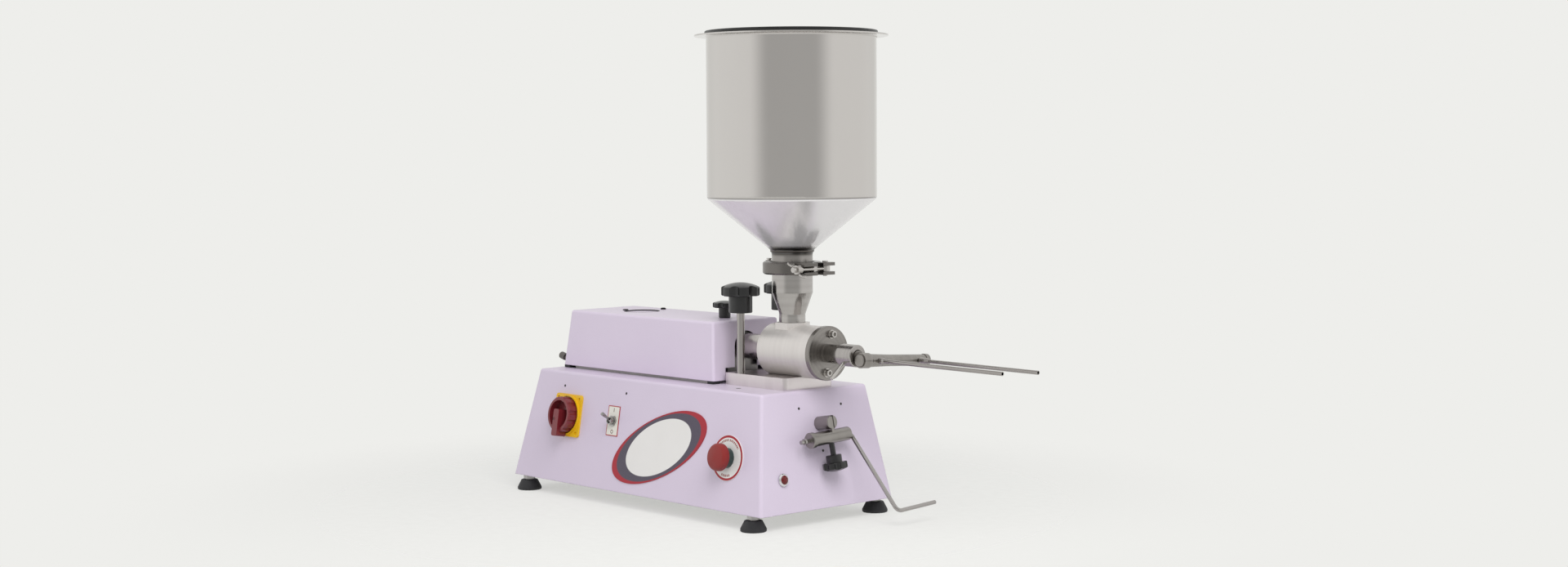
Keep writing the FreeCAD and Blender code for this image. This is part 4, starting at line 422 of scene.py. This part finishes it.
def steel(name, roughness, lines, depth=0.00002, dark=STEEL_DARK, light=STEEL_LIGHT, edge=0.0004):
    """Brushed or cast steel: lines are the line count per metre in x, y and z."""
    made = Finish(name, roughness=roughness, metallic=1.0, edge=edge)
    tree = made.tree
    drawn = made.effect(brushed_lines, Lines=lines)
    hands = made.effect(hand_marks, Size=18.0, Amount=0.10)
    rough = work_out(tree, "MULTIPLY_ADD", drawn["Tone"], ROUGH_SPREAD, roughness - ROUGH_SPREAD / 2)
    made.join(
        Base_Color=blend_colours(tree, drawn["Tone"], dark, light),
        Roughness=work_out(tree, "ADD", rough, hands["Mask"]))
    made.relief(drawn["Height"], depth)
    return made


def turned_steel(name, roughness, centre, along, pitch=1500.0, depth=0.00003, dark=STEEL_DARK,
                 light=STEEL_LIGHT, marks=0.06, drawn_out=0.0, metallic=1.0):
    """Steel off the lathe: rings about an axis through centre, highlights drawn out if wanted."""
    made = Finish(name, roughness=roughness, metallic=metallic, edge=0.0004)
    tree = made.tree
    made.shader.inputs["Anisotropic"].default_value = drawn_out
    round_the_axis = vector_sum(tree, "CROSS_PRODUCT", along,
                                vector_sum(tree, "SUBTRACT", made.where, tuple(centre)))
    made.join(Tangent=vector_sum(tree, "NORMALIZE", round_the_axis))
    across = tuple(1 - value for value in along)
    rings = made.effect(lathe_lines, Centre=centre, Along=along, Across=across, Pitch=pitch)
    hands = made.effect(hand_marks, Size=22.0, Amount=marks)
    rough = work_out(tree, "MULTIPLY_ADD", rings["Tone"], ROUGH_SPREAD, roughness - ROUGH_SPREAD / 2)
    made.join(
        Base_Color=blend_colours(tree, rings["Tone"], dark, light),
        Roughness=work_out(tree, "ADD", rough, hands["Mask"]))
    made.relief(rings["Height"], depth)
    return made


def middle(name):
    """The middle of a solid's box."""
    low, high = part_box(name)
    return tuple((low + high) / 2)


print("steel made two ways: drawn and turned")

# %% [markdown]
# ## Turned steel
# The pump's cylinder, flange and collar, the reducer and the manifold came off a lathe. Rings round
# one axis could be one texture per part, but a ring pattern is the same everywhere: only its axis and
# its middle change. So each part says where its axis runs, and the rings follow. The cylinder is
# blasted after turning, which takes most of its mirror away.

# %% Turned parts
ALONG_X, ALONG_Y, ALONG_Z = (1, 0, 0), (0, 1, 0), (0, 0, 1)
hopper_middle = middle("hopper")
barrel_middle = middle("pump_cylinder")
caps_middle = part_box("manifold_caps")[0] + Vector((0.009, 0, 0.017))

dress(turned_steel("polished_reducer", 0.14, middle("reducer"), ALONG_Z, depth=0.00001,
                   dark=linear(160, 156, 153), light=linear(188, 185, 182)), "reducer")
dress(turned_steel("satin_cylinder", 0.36, barrel_middle, ALONG_X, depth=0.00001,
                   dark=linear(206, 201, 197), light=linear(220, 216, 212), marks=0.03,
                   metallic=0.5), "pump_cylinder")
dress(turned_steel("turned_tube", 0.24, barrel_middle, ALONG_X, dark=linear(166, 161, 158),
                   light=linear(192, 188, 184)), "barrel_tube")
dress(turned_steel("turned_flange", 0.22, barrel_middle, ALONG_X, pitch=2200.0, depth=0.00001,
                   dark=linear(124, 120, 117), light=linear(156, 152, 148),
                   drawn_out=0.7), "front_flange")
dress(turned_steel("turned_collar", 0.24, barrel_middle, ALONG_X, pitch=2600.0, depth=0.00001,
                   dark=linear(158, 154, 151), light=linear(186, 182, 179)), "lock_collar")
dress(turned_steel("turned_manifold", 0.26, middle("manifold"), ALONG_Y, depth=0.000008,
                   dark=DULL_DARK, light=DULL_LIGHT), "manifold")
dress(turned_steel("turned_caps", 0.28, caps_middle, ALONG_Y, pitch=2400.0, depth=0.000008,
                   dark=DULL_DARK, light=DULL_LIGHT, drawn_out=0.6), "manifold_caps")
print("turned parts dressed:", len(dressed - {"base_housing", "drive_cover"}))

# %% [markdown]
# ## Drawn, cast and plated steel
# The rest is wire, plate, castings and screws. What tells them apart is the direction of their
# lines, given as lines per metre along each axis, and how dark they are: a blackened screw, a cast
# clamp and a chromed switch stand side by side, and one shared grey would melt them into one part.

# %% Drawn, cast and plated parts
dress(steel("polished_needles", 0.16, (30, 300, 300), depth=0.000002, dark=linear(152, 148, 145),
            light=linear(174, 170, 167)), "needle_near", "needle_far")
dress(steel("brushed_plate", 0.30, (900, 22, 22), dark=linear(208, 201, 201),
            light=linear(228, 222, 222)), "pump_plate")
dress(steel("cast_clamp", 0.24, (260, 260, 260), depth=0.00004, dark=linear(98, 95, 92),
            light=linear(128, 124, 121)), "clamp_halves")
dress(steel("bright_wing_nut", 0.20, (260, 260, 260), depth=0.00003), "wing_nut")
dress(steel("clamp_screw_steel", 0.18, (60, 60, 60), depth=0.000006, dark=linear(150, 146, 143),
            light=linear(178, 174, 171)), "clamp_rod_near", "clamp_rod_far")
dress(steel("bright_rod", 0.16, (60, 60, 60), depth=0.000006), "tommy_bar", "clamp_bolt_and_pins",
      "flange_bolts", "piston_rod")
dress(steel("bent_rod_steel", 0.14, (60, 60, 60), depth=0.000004, dark=linear(150, 146, 144),
            light=linear(176, 172, 170)), "trip_rod")
dress(steel("trip_fitting_steel", 0.28, (40, 700, 40), dark=DULL_DARK, light=DULL_LIGHT),
      "trip_clamp", "trip_shaft")
dress(steel("zinc_plated_screws", 0.34, (200, 200, 200), dark=linear(150, 148, 146),
            light=linear(196, 194, 192)), "foot_studs")
dress(steel("blackened_screws", 0.42, (200, 200, 200), dark=linear(62, 60, 60),
            light=linear(88, 86, 85)), "housing_screws")
dress(steel("thumbscrew_steel", 0.30, (200, 200, 200), dark=linear(98, 94, 92),
            light=linear(130, 126, 123)), "cover_screws")
dress(steel("mill_finish_frame", 0.42, (500, 20, 20), dark=linear(128, 126, 124),
            light=linear(164, 162, 160)), "drive_frame", "bottom_plate")
dress(steel("ground_drive_parts", 0.30, (240, 240, 40), dark=linear(150, 148, 146),
            light=linear(190, 188, 186)), "crank_disc", "conn_rod", "crosshead", "piston")
dress(steel("chrome_trim", 0.08, (150, 150, 150), depth=0.000003, dark=linear(206, 206, 208),
            light=linear(222, 222, 224), edge=0.0003), "lamp_bezel")
dress(steel("toggle_chrome", 0.10, (150, 150, 150), depth=0.000003, dark=linear(150, 148, 147),
            light=linear(176, 174, 173), edge=0.0003), "toggle_switch", "toggle_lever")
print("solids dressed so far:", len(dressed))

# %% [markdown]
# ## The hopper's sheet
# The hopper is rolled and spun from thin sheet, then polished. Its wall is close to a mirror, and its
# cone was spun and keeps a softer sheen, but its near-white tone with less metal in it is a painted
# reflection of the bright room. A weld joins the cone to its short neck: the neck is coloured darker,
# and a band at the weld darker still, as painted shade in the crease under the cone. One material
# tells these zones apart by height, so they keep their places however the hopper is turned in a
# render.

# %% Hopper steel in zones
SEAM_HEIGHT = 0.4705
WELD_HEIGHT = 0.3925
CONE_PAINTED_REFLECTION_SHARE = 0.52  # how much metal the cone loses: a painted reflection of the bright room


def hopper_sheet():
    """Polished wall, satin cone with a painted reflection, and painted shade on the neck and at the
    weld.
    """
    made = Finish("polished_hopper_sheet", roughness=0.13, metallic=1.0, edge=0.0006)
    tree = made.tree
    drawn = made.effect(brushed_lines, Lines=(90, 90, 2.5))
    hands = made.effect(hand_marks, Size=16.0, Amount=0.05)
    height = place(tree, "ShaderNodeSeparateXYZ", {0: made.where}).outputs["Z"]
    cone = band(tree, height, SEAM_HEIGHT + 0.001, SEAM_HEIGHT - 0.001)
    off_weld = work_out(tree, "ABSOLUTE", work_out(tree, "SUBTRACT", height, WELD_HEIGHT))
    weld = band(tree, off_weld, 0.0085, 0.0025)
    off_seam = work_out(tree, "ABSOLUTE", work_out(tree, "SUBTRACT", height, SEAM_HEIGHT))
    seam = work_out(tree, "MULTIPLY", band(tree, off_seam, 0.0016, 0.0004), 0.6)
    steel_tone = blend_colours(tree, drawn["Tone"], linear(190, 186, 183), linear(206, 203, 200))
    # painted reflection: the cone's near-white tone stands for the bright room it mirrors
    cone_painted_reflection_tone = blend_colours(tree, drawn["Tone"], linear(240, 238, 238), linear(248, 246, 246))
    tone = blend_colours(tree, cone, steel_tone, cone_painted_reflection_tone)
    # painted shade: the neck below the weld is coloured darker
    neck = band(tree, height, WELD_HEIGHT - 0.002, WELD_HEIGHT - 0.004)
    tone = blend_colours(tree, neck, tone, linear(150, 146, 143))
    # painted shade: a darker band at the weld, for the shade in the crease under the cone
    neck_weld_painted_shade = work_out(tree, "MULTIPLY", weld, 0.85)
    tone = blend_colours(tree, neck_weld_painted_shade, tone, linear(52, 48, 45))
    tone = blend_colours(tree, seam, tone, linear(96, 92, 90))
    rough = work_out(tree, "MULTIPLY_ADD", cone, 0.09, 0.11)
    rough = work_out(tree, "MULTIPLY_ADD", weld, 0.12, rough)
    above_weld = band(tree, height, WELD_HEIGHT + 0.004, WELD_HEIGHT + 0.010)
    # painted reflection: the cone above the weld loses metal, so its near-white tone shows
    spun = work_out(tree, "MULTIPLY", cone, above_weld)
    made.join(Base_Color=tone, Roughness=work_out(tree, "ADD", rough, hands["Mask"]),
              Metallic=work_out(tree, "MULTIPLY_ADD", spun, -CONE_PAINTED_REFLECTION_SHARE, 1.0))
    made.relief(drawn["Height"], 0.000006)
    return made


dress(hopper_sheet(), "hopper")
print("hopper zones at", SEAM_HEIGHT, "and", WELD_HEIGHT, "m")


# %% [markdown]
# ## Tools for the fine parts
# The fine parts are all made the same way: a plain form is added, some of its points are picked and
# moved, and the part is turned into place on the body that carries it. A modeller does these steps
# by hand. Four short functions keep them in that order and make sure that nothing else is selected.

# %% Helpers for fine parts
def start_piece(shape, name, **options):
    """Adds a primitive to start a fine part from, with nothing else selected."""
    bpy.ops.object.select_all(action="DESELECT")
    getattr(bpy.ops.mesh, shape)(**options)
    made = bpy.context.object
    made.name = name
    return made


def pick(piece, chosen):
    """Selects the points that the rule accepts and leaves the mesh open for editing."""
    bpy.ops.object.mode_set(mode="EDIT")
    bpy.ops.mesh.select_mode(type="VERT")
    bpy.ops.mesh.select_all(action="DESELECT")
    bpy.ops.object.mode_set(mode="OBJECT")
    for point in piece.data.vertices:
        point.select = chosen(point)
    bpy.ops.object.mode_set(mode="EDIT")


def rounded(piece, levels):
    """Applies a subdivision that rounds the form."""
    smooth = piece.modifiers.new("rounded", "SUBSURF")
    smooth.levels = smooth.render_levels = levels
    bpy.ops.object.modifier_apply(modifier=smooth.name)


def settle(piece, finish, body, at, towards=None, angle=40):
    """Turns the piece towards a direction, moves it into place, and lets it ride on a body."""
    piece.location = at
    if towards is not None:
        piece.rotation_euler = Vector(towards).to_track_quat("Z", "Y").to_euler()
    bpy.ops.object.select_all(action="DESELECT")
    piece.select_set(True)
    bpy.context.view_layer.objects.active = piece
    bpy.ops.object.transform_apply(location=True, rotation=True, scale=True)
    bpy.ops.object.shade_smooth_by_angle(angle=math.radians(angle))
    piece.data.materials.append(finish.material)
    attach(piece, body)
    print(piece.name, "rides on", body)
    return piece


print("helpers for fine parts ready")

# %% [markdown]
# ## The weld at the hopper's neck
# The cone is joined to its short neck by a weld that a welder laid in small overlapping puddles. A
# plain ring would read as a seal. Here the ring gets its ripples: every second row of points is
# pushed out a little, and a subdivision rounds the steps into waves.

# %% Weld bead round the neck
NECK_RADIUS = 0.0302
BEAD_RADIUS, RIPPLE_HEIGHT = 0.0019, 0.00045
RIPPLES, ROUND_BEAD = 150, 10
bead = start_piece("primitive_torus_add", "neck_weld_bead", major_radius=NECK_RADIUS,
                   minor_radius=BEAD_RADIUS, major_segments=RIPPLES, minor_segments=ROUND_BEAD)
pick(bead, lambda point: (point.index // ROUND_BEAD) % 2 == 0)
bpy.ops.transform.shrink_fatten(value=RIPPLE_HEIGHT)
bpy.ops.object.mode_set(mode="OBJECT")
rounded(bead, 1)
weld_steel = steel("grey_weld_bead", 0.34, (300, 300, 300), depth=0.00004, dark=linear(84, 79, 76),
                   light=linear(118, 112, 108))
bead_middle = (hopper_middle[0], hopper_middle[1], WELD_HEIGHT)
settle(bead, weld_steel, "base", bead_middle, angle=180)

# %% [markdown]
# ## Knurled thumbscrews
# The two thumbscrews behind the cover are tightened by hand, so their heads are knurled: a wheel with
# teeth is rolled along them in the lathe. The knurl could be a bump map, but from the side its teeth
# show against the light. A round sleeve with every second row of points drawn in gives real teeth.

# %% Knurls of the thumbscrews
COVER_REAR_LEAN = math.atan(21.4 / 88.5)
THUMB_ASIDE, THUMB_REACH = 0.058, 0.0125
KNURL_RADIUS, KNURL_LENGTH, KNURL_POINTS = 0.00585, 0.0098, 64
KNURL_VALLEY = 0.94  # size of a valley as a share of the tip
thumb_out = Vector((-math.cos(COVER_REAR_LEAN), 0, math.sin(COVER_REAR_LEAN)))
thumb_foot = Vector((-0.2477, 0, 0.207))
for side, label_end in ((-1, "near"), (1, "far")):
    knurl = start_piece("primitive_cylinder_add", "thumbscrew_knurl_" + label_end,
                        vertices=KNURL_POINTS, radius=KNURL_RADIUS, depth=KNURL_LENGTH)
    pick(knurl, lambda point: (point.index // 2) % 2 == 0)
    bpy.ops.transform.resize(value=(KNURL_VALLEY, KNURL_VALLEY, 1), center_override=(0, 0, 0))
    bpy.ops.object.mode_set(mode="OBJECT")
    bevel = knurl.modifiers.new("rolled_edge", "BEVEL")
    bevel.width, bevel.segments, bevel.limit_method = 0.0003, 2, "ANGLE"
    bpy.ops.object.modifier_apply(modifier=bevel.name)
    knurled_steel = steel("knurled_head_" + label_end, 0.32, (200, 200, 200),
                          dark=linear(92, 88, 86), light=linear(124, 120, 117))
    head = thumb_foot + Vector((0, side * THUMB_ASIDE, 0)) + thumb_out * THUMB_REACH
    settle(knurl, knurled_steel, "cover", head, thumb_out, angle=20)

# %% [markdown]
# ## Small fasteners beside the cover's recess
# A screw holds the plate that closes the round recess in the cover, and a small eye stands across
# from it. Each starts as the plainest form with its outline. The screw's dome is an inset top that
# is raised, with its middle pushed down again.

# %% Screw and eye by the recess
COVER_TOP = 0.286
RECESS_MIDDLE = -0.130
plate_screw = start_piece("primitive_cylinder_add", "recess_plate_screw", vertices=40, radius=0.0042,
                          depth=0.0022, end_fill_type="NGON")
pick(plate_screw, lambda point: point.co.z > 0)
bpy.ops.mesh.inset(thickness=0.0012, depth=0.0009)
bpy.ops.mesh.inset(thickness=0.0010, depth=0.0)
bpy.ops.mesh.inset(thickness=0.0001, depth=-0.0012)
bpy.ops.object.mode_set(mode="OBJECT")
dark_screw = steel("dark_recess_screw", 0.38, (200, 200, 200), dark=linear(44, 42, 44),
                   light=linear(66, 63, 66))
settle(plate_screw, dark_screw, "cover", (-0.1312, 0.0446, COVER_TOP + 0.0008), angle=25)
eye = start_piece("primitive_torus_add", "recess_plate_eye", major_radius=0.0034, minor_radius=0.0011,
                  major_segments=40, minor_segments=12)
pick(eye, lambda point: point.co.z < -0.0004)
bpy.ops.transform.resize(value=(1.12, 1.12, 1), center_override=(0, 0, 0))
bpy.ops.object.mode_set(mode="OBJECT")
dark_eye = steel("dark_recess_eye", 0.34, (200, 200, 200), dark=linear(60, 56, 60),
                 light=linear(90, 85, 90))
settle(eye, dark_eye, "cover", (-0.1612, -0.0080, COVER_TOP + 0.0007), angle=60)
print("fasteners stand", round(COVER_TOP * 1000), "mm above the bench")

# %% [markdown]
# ## Rubber, plastics and paint
# Knobs are pressed from black phenolic and shine softly. Feet are moulded rubber and stay dull. The
# switch parts are dyed plastic: the colour runs through, so wear shows as a change in gloss and not
# as another colour under it.

# %% Plastics and rubber
def moulded(name, dark, light, roughness, grain=1400.0, depth=0.00003, coat=0.0):
    """A moulded plastic or rubber: fine grain, a slow drift of tone and handling marks."""
    made = Finish(name, roughness=roughness, coat=coat, edge=0.0005)
    tree = made.tree
    skin = made.effect(fine_grain, Grain=grain, Drift=24.0)
    hands = made.effect(hand_marks, Size=30.0, Amount=0.12)
    rough = work_out(tree, "MULTIPLY_ADD", skin["Tone"], 0.14, roughness - 0.07)
    made.join(
        Base_Color=blend_colours(tree, skin["Tone"], linear(*dark), linear(*light)),
        Roughness=work_out(tree, "ADD", rough, hands["Mask"]))
    made.relief(skin["Height"], depth)
    return made


dress(moulded("black_phenolic_knobs", (13, 13, 14), (23, 23, 24), 0.30, coat=0.2),
      "cover_knob", "clamp_knob_near", "clamp_knob_far", "trip_knob")
dress(moulded("black_rubber_feet", (30, 30, 32), (46, 46, 48), 0.62, grain=900.0, depth=0.00008),
      "foot_pad_front_near", "foot_pad_front_far", "foot_pad_rear_near", "foot_pad_rear_far",
      "cover_pads")
dress(moulded("piston_seal_rubber", (38, 38, 40), (52, 52, 54), 0.5), "piston_seals")
dress(moulded("yellow_isolator_plate", (226, 178, 14), (240, 194, 26), 0.34, coat=0.2),
      "isolator_plate")
dress(moulded("dark_red_isolator_handle", (108, 30, 37), (124, 38, 45), 0.32, coat=0.25),
      "isolator_handle")
dress(moulded("red_stop_button", (122, 24, 21), (140, 32, 29), 0.42, coat=0.08), "estop_head")
dress(moulded("slate_stop_collar", (34, 50, 50), (46, 62, 60), 0.38), "estop_collar")
dress(moulded("black_switch_bodies", (30, 30, 32), (44, 44, 46), 0.45),
      "isolator_switch", "trip_switch", "estop_plunger")
dress(moulded("black_hopper_lid", (16, 16, 16), (26, 26, 25), 0.36), "hopper_lid")
dress(moulded("white_silicone_gasket", (226, 226, 222), (238, 238, 234), 0.5), "clamp_gasket")
dress(moulded("grey_motor_enamel", (92, 98, 102), (110, 116, 120), 0.36, depth=0.00008, coat=0.3),
      "gearmotor")
print("plastics, rubber and paint done")

# %% [markdown]
# ## Painted shade in the cover's recess
# The far wall of the round recess lies in shade. A black ring runs along that wall as painted shade.
# A dark line in the cover's own material would look printed on, so the ring is thin with a thickness
# of its own: its top stays round and its underside is flattened.

# %% Ring of painted shade in the recess
RECESS_RADIUS, SHADE_RING_RADIUS = 0.029, 0.0010
# painted shade: a black ring along the recess wall stands for the shade on it
shade_ring = start_piece("primitive_torus_add", "recess_shade_ring", major_radius=RECESS_RADIUS - SHADE_RING_RADIUS,
                   minor_radius=SHADE_RING_RADIUS, major_segments=96, minor_segments=12)
pick(shade_ring, lambda point: point.co.z < -0.0003)
bpy.ops.transform.resize(value=(1, 1, 0.6), center_override=(0, 0, 0))
bpy.ops.object.mode_set(mode="OBJECT")
# The ring's black colour is painted shade.
settle(shade_ring, moulded("recess_painted_shade", (22, 20, 22), (34, 32, 34), 0.5), "cover",
       (RECESS_MIDDLE, 0, COVER_TOP - 0.0008), angle=180)
print("painted_shade_ring radius", RECESS_RADIUS, "m")


# %% [markdown]
# ## Printed labels
# The three labels are printed sheet. A print can be an image, but a picture has a fixed sharpness
# and needs a file. These are drawn by distance: the shader works out how far a point is from an
# outline and changes colour there, so the edge stays crisp at any size.

# %% Frames for the leaning panel
BASE_LOW, BASE_RISE = 0.023, 0.170
PANEL_FOOT, PANEL_LEANS_IN = 0.132, 0.028
PANEL_LEAN = math.atan(PANEL_LEANS_IN / BASE_RISE)


def on_panel(x, z, out=0.0):
    """A point on the control panel: x along it, z its height, out its distance off the sheet."""
    y = -(PANEL_FOOT - PANEL_LEANS_IN * (z - BASE_LOW) / BASE_RISE)
    return Vector((x, y - out * math.cos(PANEL_LEAN), z + out * math.sin(PANEL_LEAN)))


panel_up = Vector((0, math.sin(PANEL_LEAN), math.cos(PANEL_LEAN)))
print("panel leans", round(math.degrees(PANEL_LEAN), 2), "degrees")


# %% [markdown]
# ## Lock hole in the isolator's grip
# The grip is bored for a padlock, so nobody can switch on a machine that is open. Cutting the handle
# would change a solid whose size is checked, so the bore's mouth is a thin dished disc on the grip:
# the face of a flat cylinder is inset twice and its middle pushed in, and the dish is dark inside.

# %% Lock hole of the isolator
GRIP_FACE = 0.0246
lock_hole = start_piece("primitive_cylinder_add", "isolator_lock_hole", vertices=36, radius=0.0021,
                        depth=0.0006, end_fill_type="NGON")
pick(lock_hole, lambda point: point.co.z > 0)
bpy.ops.mesh.inset(thickness=0.0004, depth=0.0)
bpy.ops.mesh.inset(thickness=0.0003, depth=-0.00035)
bpy.ops.object.mode_set(mode="OBJECT")
panel_out = Vector((0, -math.cos(PANEL_LEAN), math.sin(PANEL_LEAN)))
# The dish's dark colour is painted shade for the depth of the bore.
settle(lock_hole, moulded("lock_hole_painted_shade", (26, 12, 14), (38, 18, 20), 0.5), "isolator",
       on_panel(-0.1765, 0.1190, GRIP_FACE), panel_out, angle=30)
print("lock hole rides", GRIP_FACE, "m off the panel")

# %% [markdown]
# ## The sheet under the print
# Enamelled labels are one sheet with one clear coat, whatever is printed on them. So the sheet is a
# finish of its own, and a second helper measures the panel along its slope. The prints then only
# say which ink lies where.

# %% Label inks
def label(name):
    """White enamelled sheet with a clear coat, ready for its inks."""
    made = Finish(name, roughness=0.42, coat=0.08, coat_roughness=0.2, edge=0.0002)
    skin = made.effect(fine_grain, Grain=2600.0, Drift=12.0)
    white = blend_colours(made.tree, skin["Tone"], linear(226, 224, 220), linear(236, 234, 231))
    made.relief(skin["Height"], 0.00001)
    return made, white


def panel_place(made, centre, turned=0.0):
    """Distances along and up the panel from a centre, turned by an angle in degrees."""
    tree = made.tree
    away = vector_sum(tree, "SUBTRACT", made.where, tuple(centre))
    along = vector_sum(tree, "DOT_PRODUCT", away, (1, 0, 0))
    up = vector_sum(tree, "DOT_PRODUCT", away, tuple(panel_up))
    cosine, sine = math.cos(math.radians(turned)), math.sin(math.radians(turned))
    first = work_out(tree, "ADD", work_out(tree, "MULTIPLY", along, cosine),
                     work_out(tree, "MULTIPLY", up, sine))
    second = work_out(tree, "SUBTRACT", work_out(tree, "MULTIPLY", up, cosine),
                      work_out(tree, "MULTIPLY", along, sine))
    return first, second


print("label base ready")


# %% [markdown]
# ## The three labels
# The name plate is left without a name: a white middle in a fine-dotted slate field with a red rim.
# The emergency stop sits on a white disc with a red rim and rows of plain ticks, and the toggle on a
# narrow card with a red-brown line and the usual I and O of a switch.

# %% Inks of the name plate
RED_INK = linear(162, 15, 38)
SLATE_INK = linear(62, 54, 70)
TICK_INK = linear(150, 84, 76)
PLATE_AT, PLATE_TURNED = on_panel(0.0559, 0.0979), 23
FIELD_HALF_SIZES, MIDDLE_HALF_SIZES = (0.0995, 0.0432), (0.077, 0.0380)
DOTS = 3600  # radians of the dot pattern per metre


def within(tree, distance, limit, soft=0.0003):
    """1 inside a limit and 0 outside it, with a soft printed edge."""
    return band(tree, distance, limit + soft, limit - soft)


def ellipse(tree, first, second, half_long, half_wide):
    """How far out a point lies, as a share of the way to the ellipse."""
    across = work_out(tree, "DIVIDE", first, half_long)
    upward = work_out(tree, "DIVIDE", second, half_wide)
    squares = work_out(tree, "MULTIPLY_ADD", across, across,
                       work_out(tree, "MULTIPLY", upward, upward))
    return work_out(tree, "SQRT", squares)


def name_plate_print():
    """Red rim, fine-dotted slate field and a white middle that stays empty."""
    made, white = label("name_plate_print")
    tree = made.tree
    first, second = panel_place(made, PLATE_AT, PLATE_TURNED)
    rim = within(tree, ellipse(tree, first, second, *FIELD_HALF_SIZES), 1.0, 0.012)
    middle_field = within(tree, ellipse(tree, first, second, *MIDDLE_HALF_SIZES), 1.0, 0.012)
    dots = work_out(tree, "MULTIPLY",
                    work_out(tree, "SINE", work_out(tree, "MULTIPLY", first, DOTS)),
                    work_out(tree, "SINE", work_out(tree, "MULTIPLY", second, DOTS)))
    dotted = blend_colours(tree, band(tree, dots, 0.15, 0.45), SLATE_INK, linear(94, 85, 102))
    inks = blend_colours(tree, middle_field, blend_colours(tree, rim, RED_INK, dotted), white)
    made.join(Base_Color=inks)
    return made


dress(name_plate_print(), "name_plate")
print("name plate printed")

# %% [markdown]
# ## The stop disc and the toggle card
# Both labels use the same ruler as the name plate. Where the real disc has words, plain ticks stand
# in two arcs: they are cut from the angle round the disc by a repeating fraction, so no letter needs
# to be drawn. The card's I is a short bar and its O a thin ring.

# %% Inks of the stop disc and the toggle card
STOP_AT, TOGGLE_AT = on_panel(0.213, 0.0987), on_panel(-0.059, 0.1275)
MARK_ASIDE = 0.0165  # from the toggle to the middle of the I and of the O


def stop_disc_print():
    """A red rim and two arcs of plain ticks on the white disc."""
    made, white = label("stop_disc_print")
    tree = made.tree
    first, second = panel_place(made, STOP_AT)
    away = work_out(tree, "SQRT", work_out(tree, "MULTIPLY_ADD", first, first,
                                           work_out(tree, "MULTIPLY", second, second)))
    rim = work_out(tree, "MULTIPLY", within(tree, away, 0.0326), band(tree, away, 0.0289, 0.0295))
    angle = work_out(tree, "ABSOLUTE", work_out(tree, "ARCTAN2", first, second))
    tick = band(tree, work_out(tree, "FRACT", work_out(tree, "MULTIPLY", angle, 8.0)), 0.30, 0.42)
    row = work_out(tree, "MULTIPLY", within(tree, away, 0.0272), band(tree, away, 0.0236, 0.0242))
    top = band(tree, angle, math.radians(56), math.radians(54))
    bottom = band(tree, angle, math.radians(158), math.radians(160))
    ticks = work_out(tree, "MULTIPLY", work_out(tree, "MULTIPLY", tick, row),
                     work_out(tree, "ADD", top, bottom))
    rimmed = blend_colours(tree, rim, white, RED_INK)
    made.join(Base_Color=blend_colours(tree, ticks, rimmed, TICK_INK))
    return made


def toggle_card_print():
    """A bordered cream card with an I above the toggle and an O below it."""
    made, white = label("toggle_card_print")
    tree = made.tree
    first, second = panel_place(made, TOGGLE_AT)
    aside = work_out(tree, "ABSOLUTE", first)
    upward = work_out(tree, "ABSOLUTE", second)
    inside = work_out(tree, "MINIMUM", within(tree, aside, 0.0126), within(tree, upward, 0.0216))
    narrow = within(tree, aside, 0.0007)
    off_bar = work_out(tree, "ABSOLUTE", work_out(tree, "SUBTRACT", second, MARK_ASIDE))
    bar = work_out(tree, "MULTIPLY", narrow, within(tree, off_bar, 0.0030))
    low = work_out(tree, "ADD", second, MARK_ASIDE)
    off_ring = work_out(tree, "SQRT", work_out(tree, "MULTIPLY_ADD", first, first,
                                               work_out(tree, "MULTIPLY", low, low)))
    off_line = work_out(tree, "ABSOLUTE", work_out(tree, "SUBTRACT", off_ring, 0.0025))
    ring = within(tree, off_line, 0.0006)
    marks = work_out(tree, "MAXIMUM", bar, ring)
    cream = blend_colours(tree, 0.35, white, linear(216, 214, 190))
    inks = blend_colours(tree, inside, linear(172, 66, 66), cream)
    made.join(Base_Color=blend_colours(tree, marks, inks, linear(96, 60, 54)))
    return made


dress(stop_disc_print(), "estop_legend")
dress(toggle_card_print(), "toggle_plate")
print("stop disc and toggle card printed")


# %% [markdown]
# ## The pilot lamp's lens
# A small dome of red acrylic. Real lenses have facets inside that scatter the light, so a clear red
# glass would look too empty: a slightly rough shell with some transmission keeps the depth.

# %% Red lens
def lens():
    """Red acrylic with facets inside and a little light through it."""
    made = Finish("red_lamp_lens", roughness=0.12, ior=1.49, edge=0.0003)
    made.shader.inputs["Transmission Weight"].default_value = 0.35
    facets = made.effect(fine_grain, Grain=1100.0, Drift=40.0)
    red = blend_colours(made.tree, facets["Tone"], linear(96, 12, 18), linear(150, 24, 30))
    made.join(Base_Color=red)
    made.relief(facets["Height"], 0.00006)
    return made


dress(lens(), "lamp_lens")
print("solids without a finish:", sorted(set(nodes) - dressed))
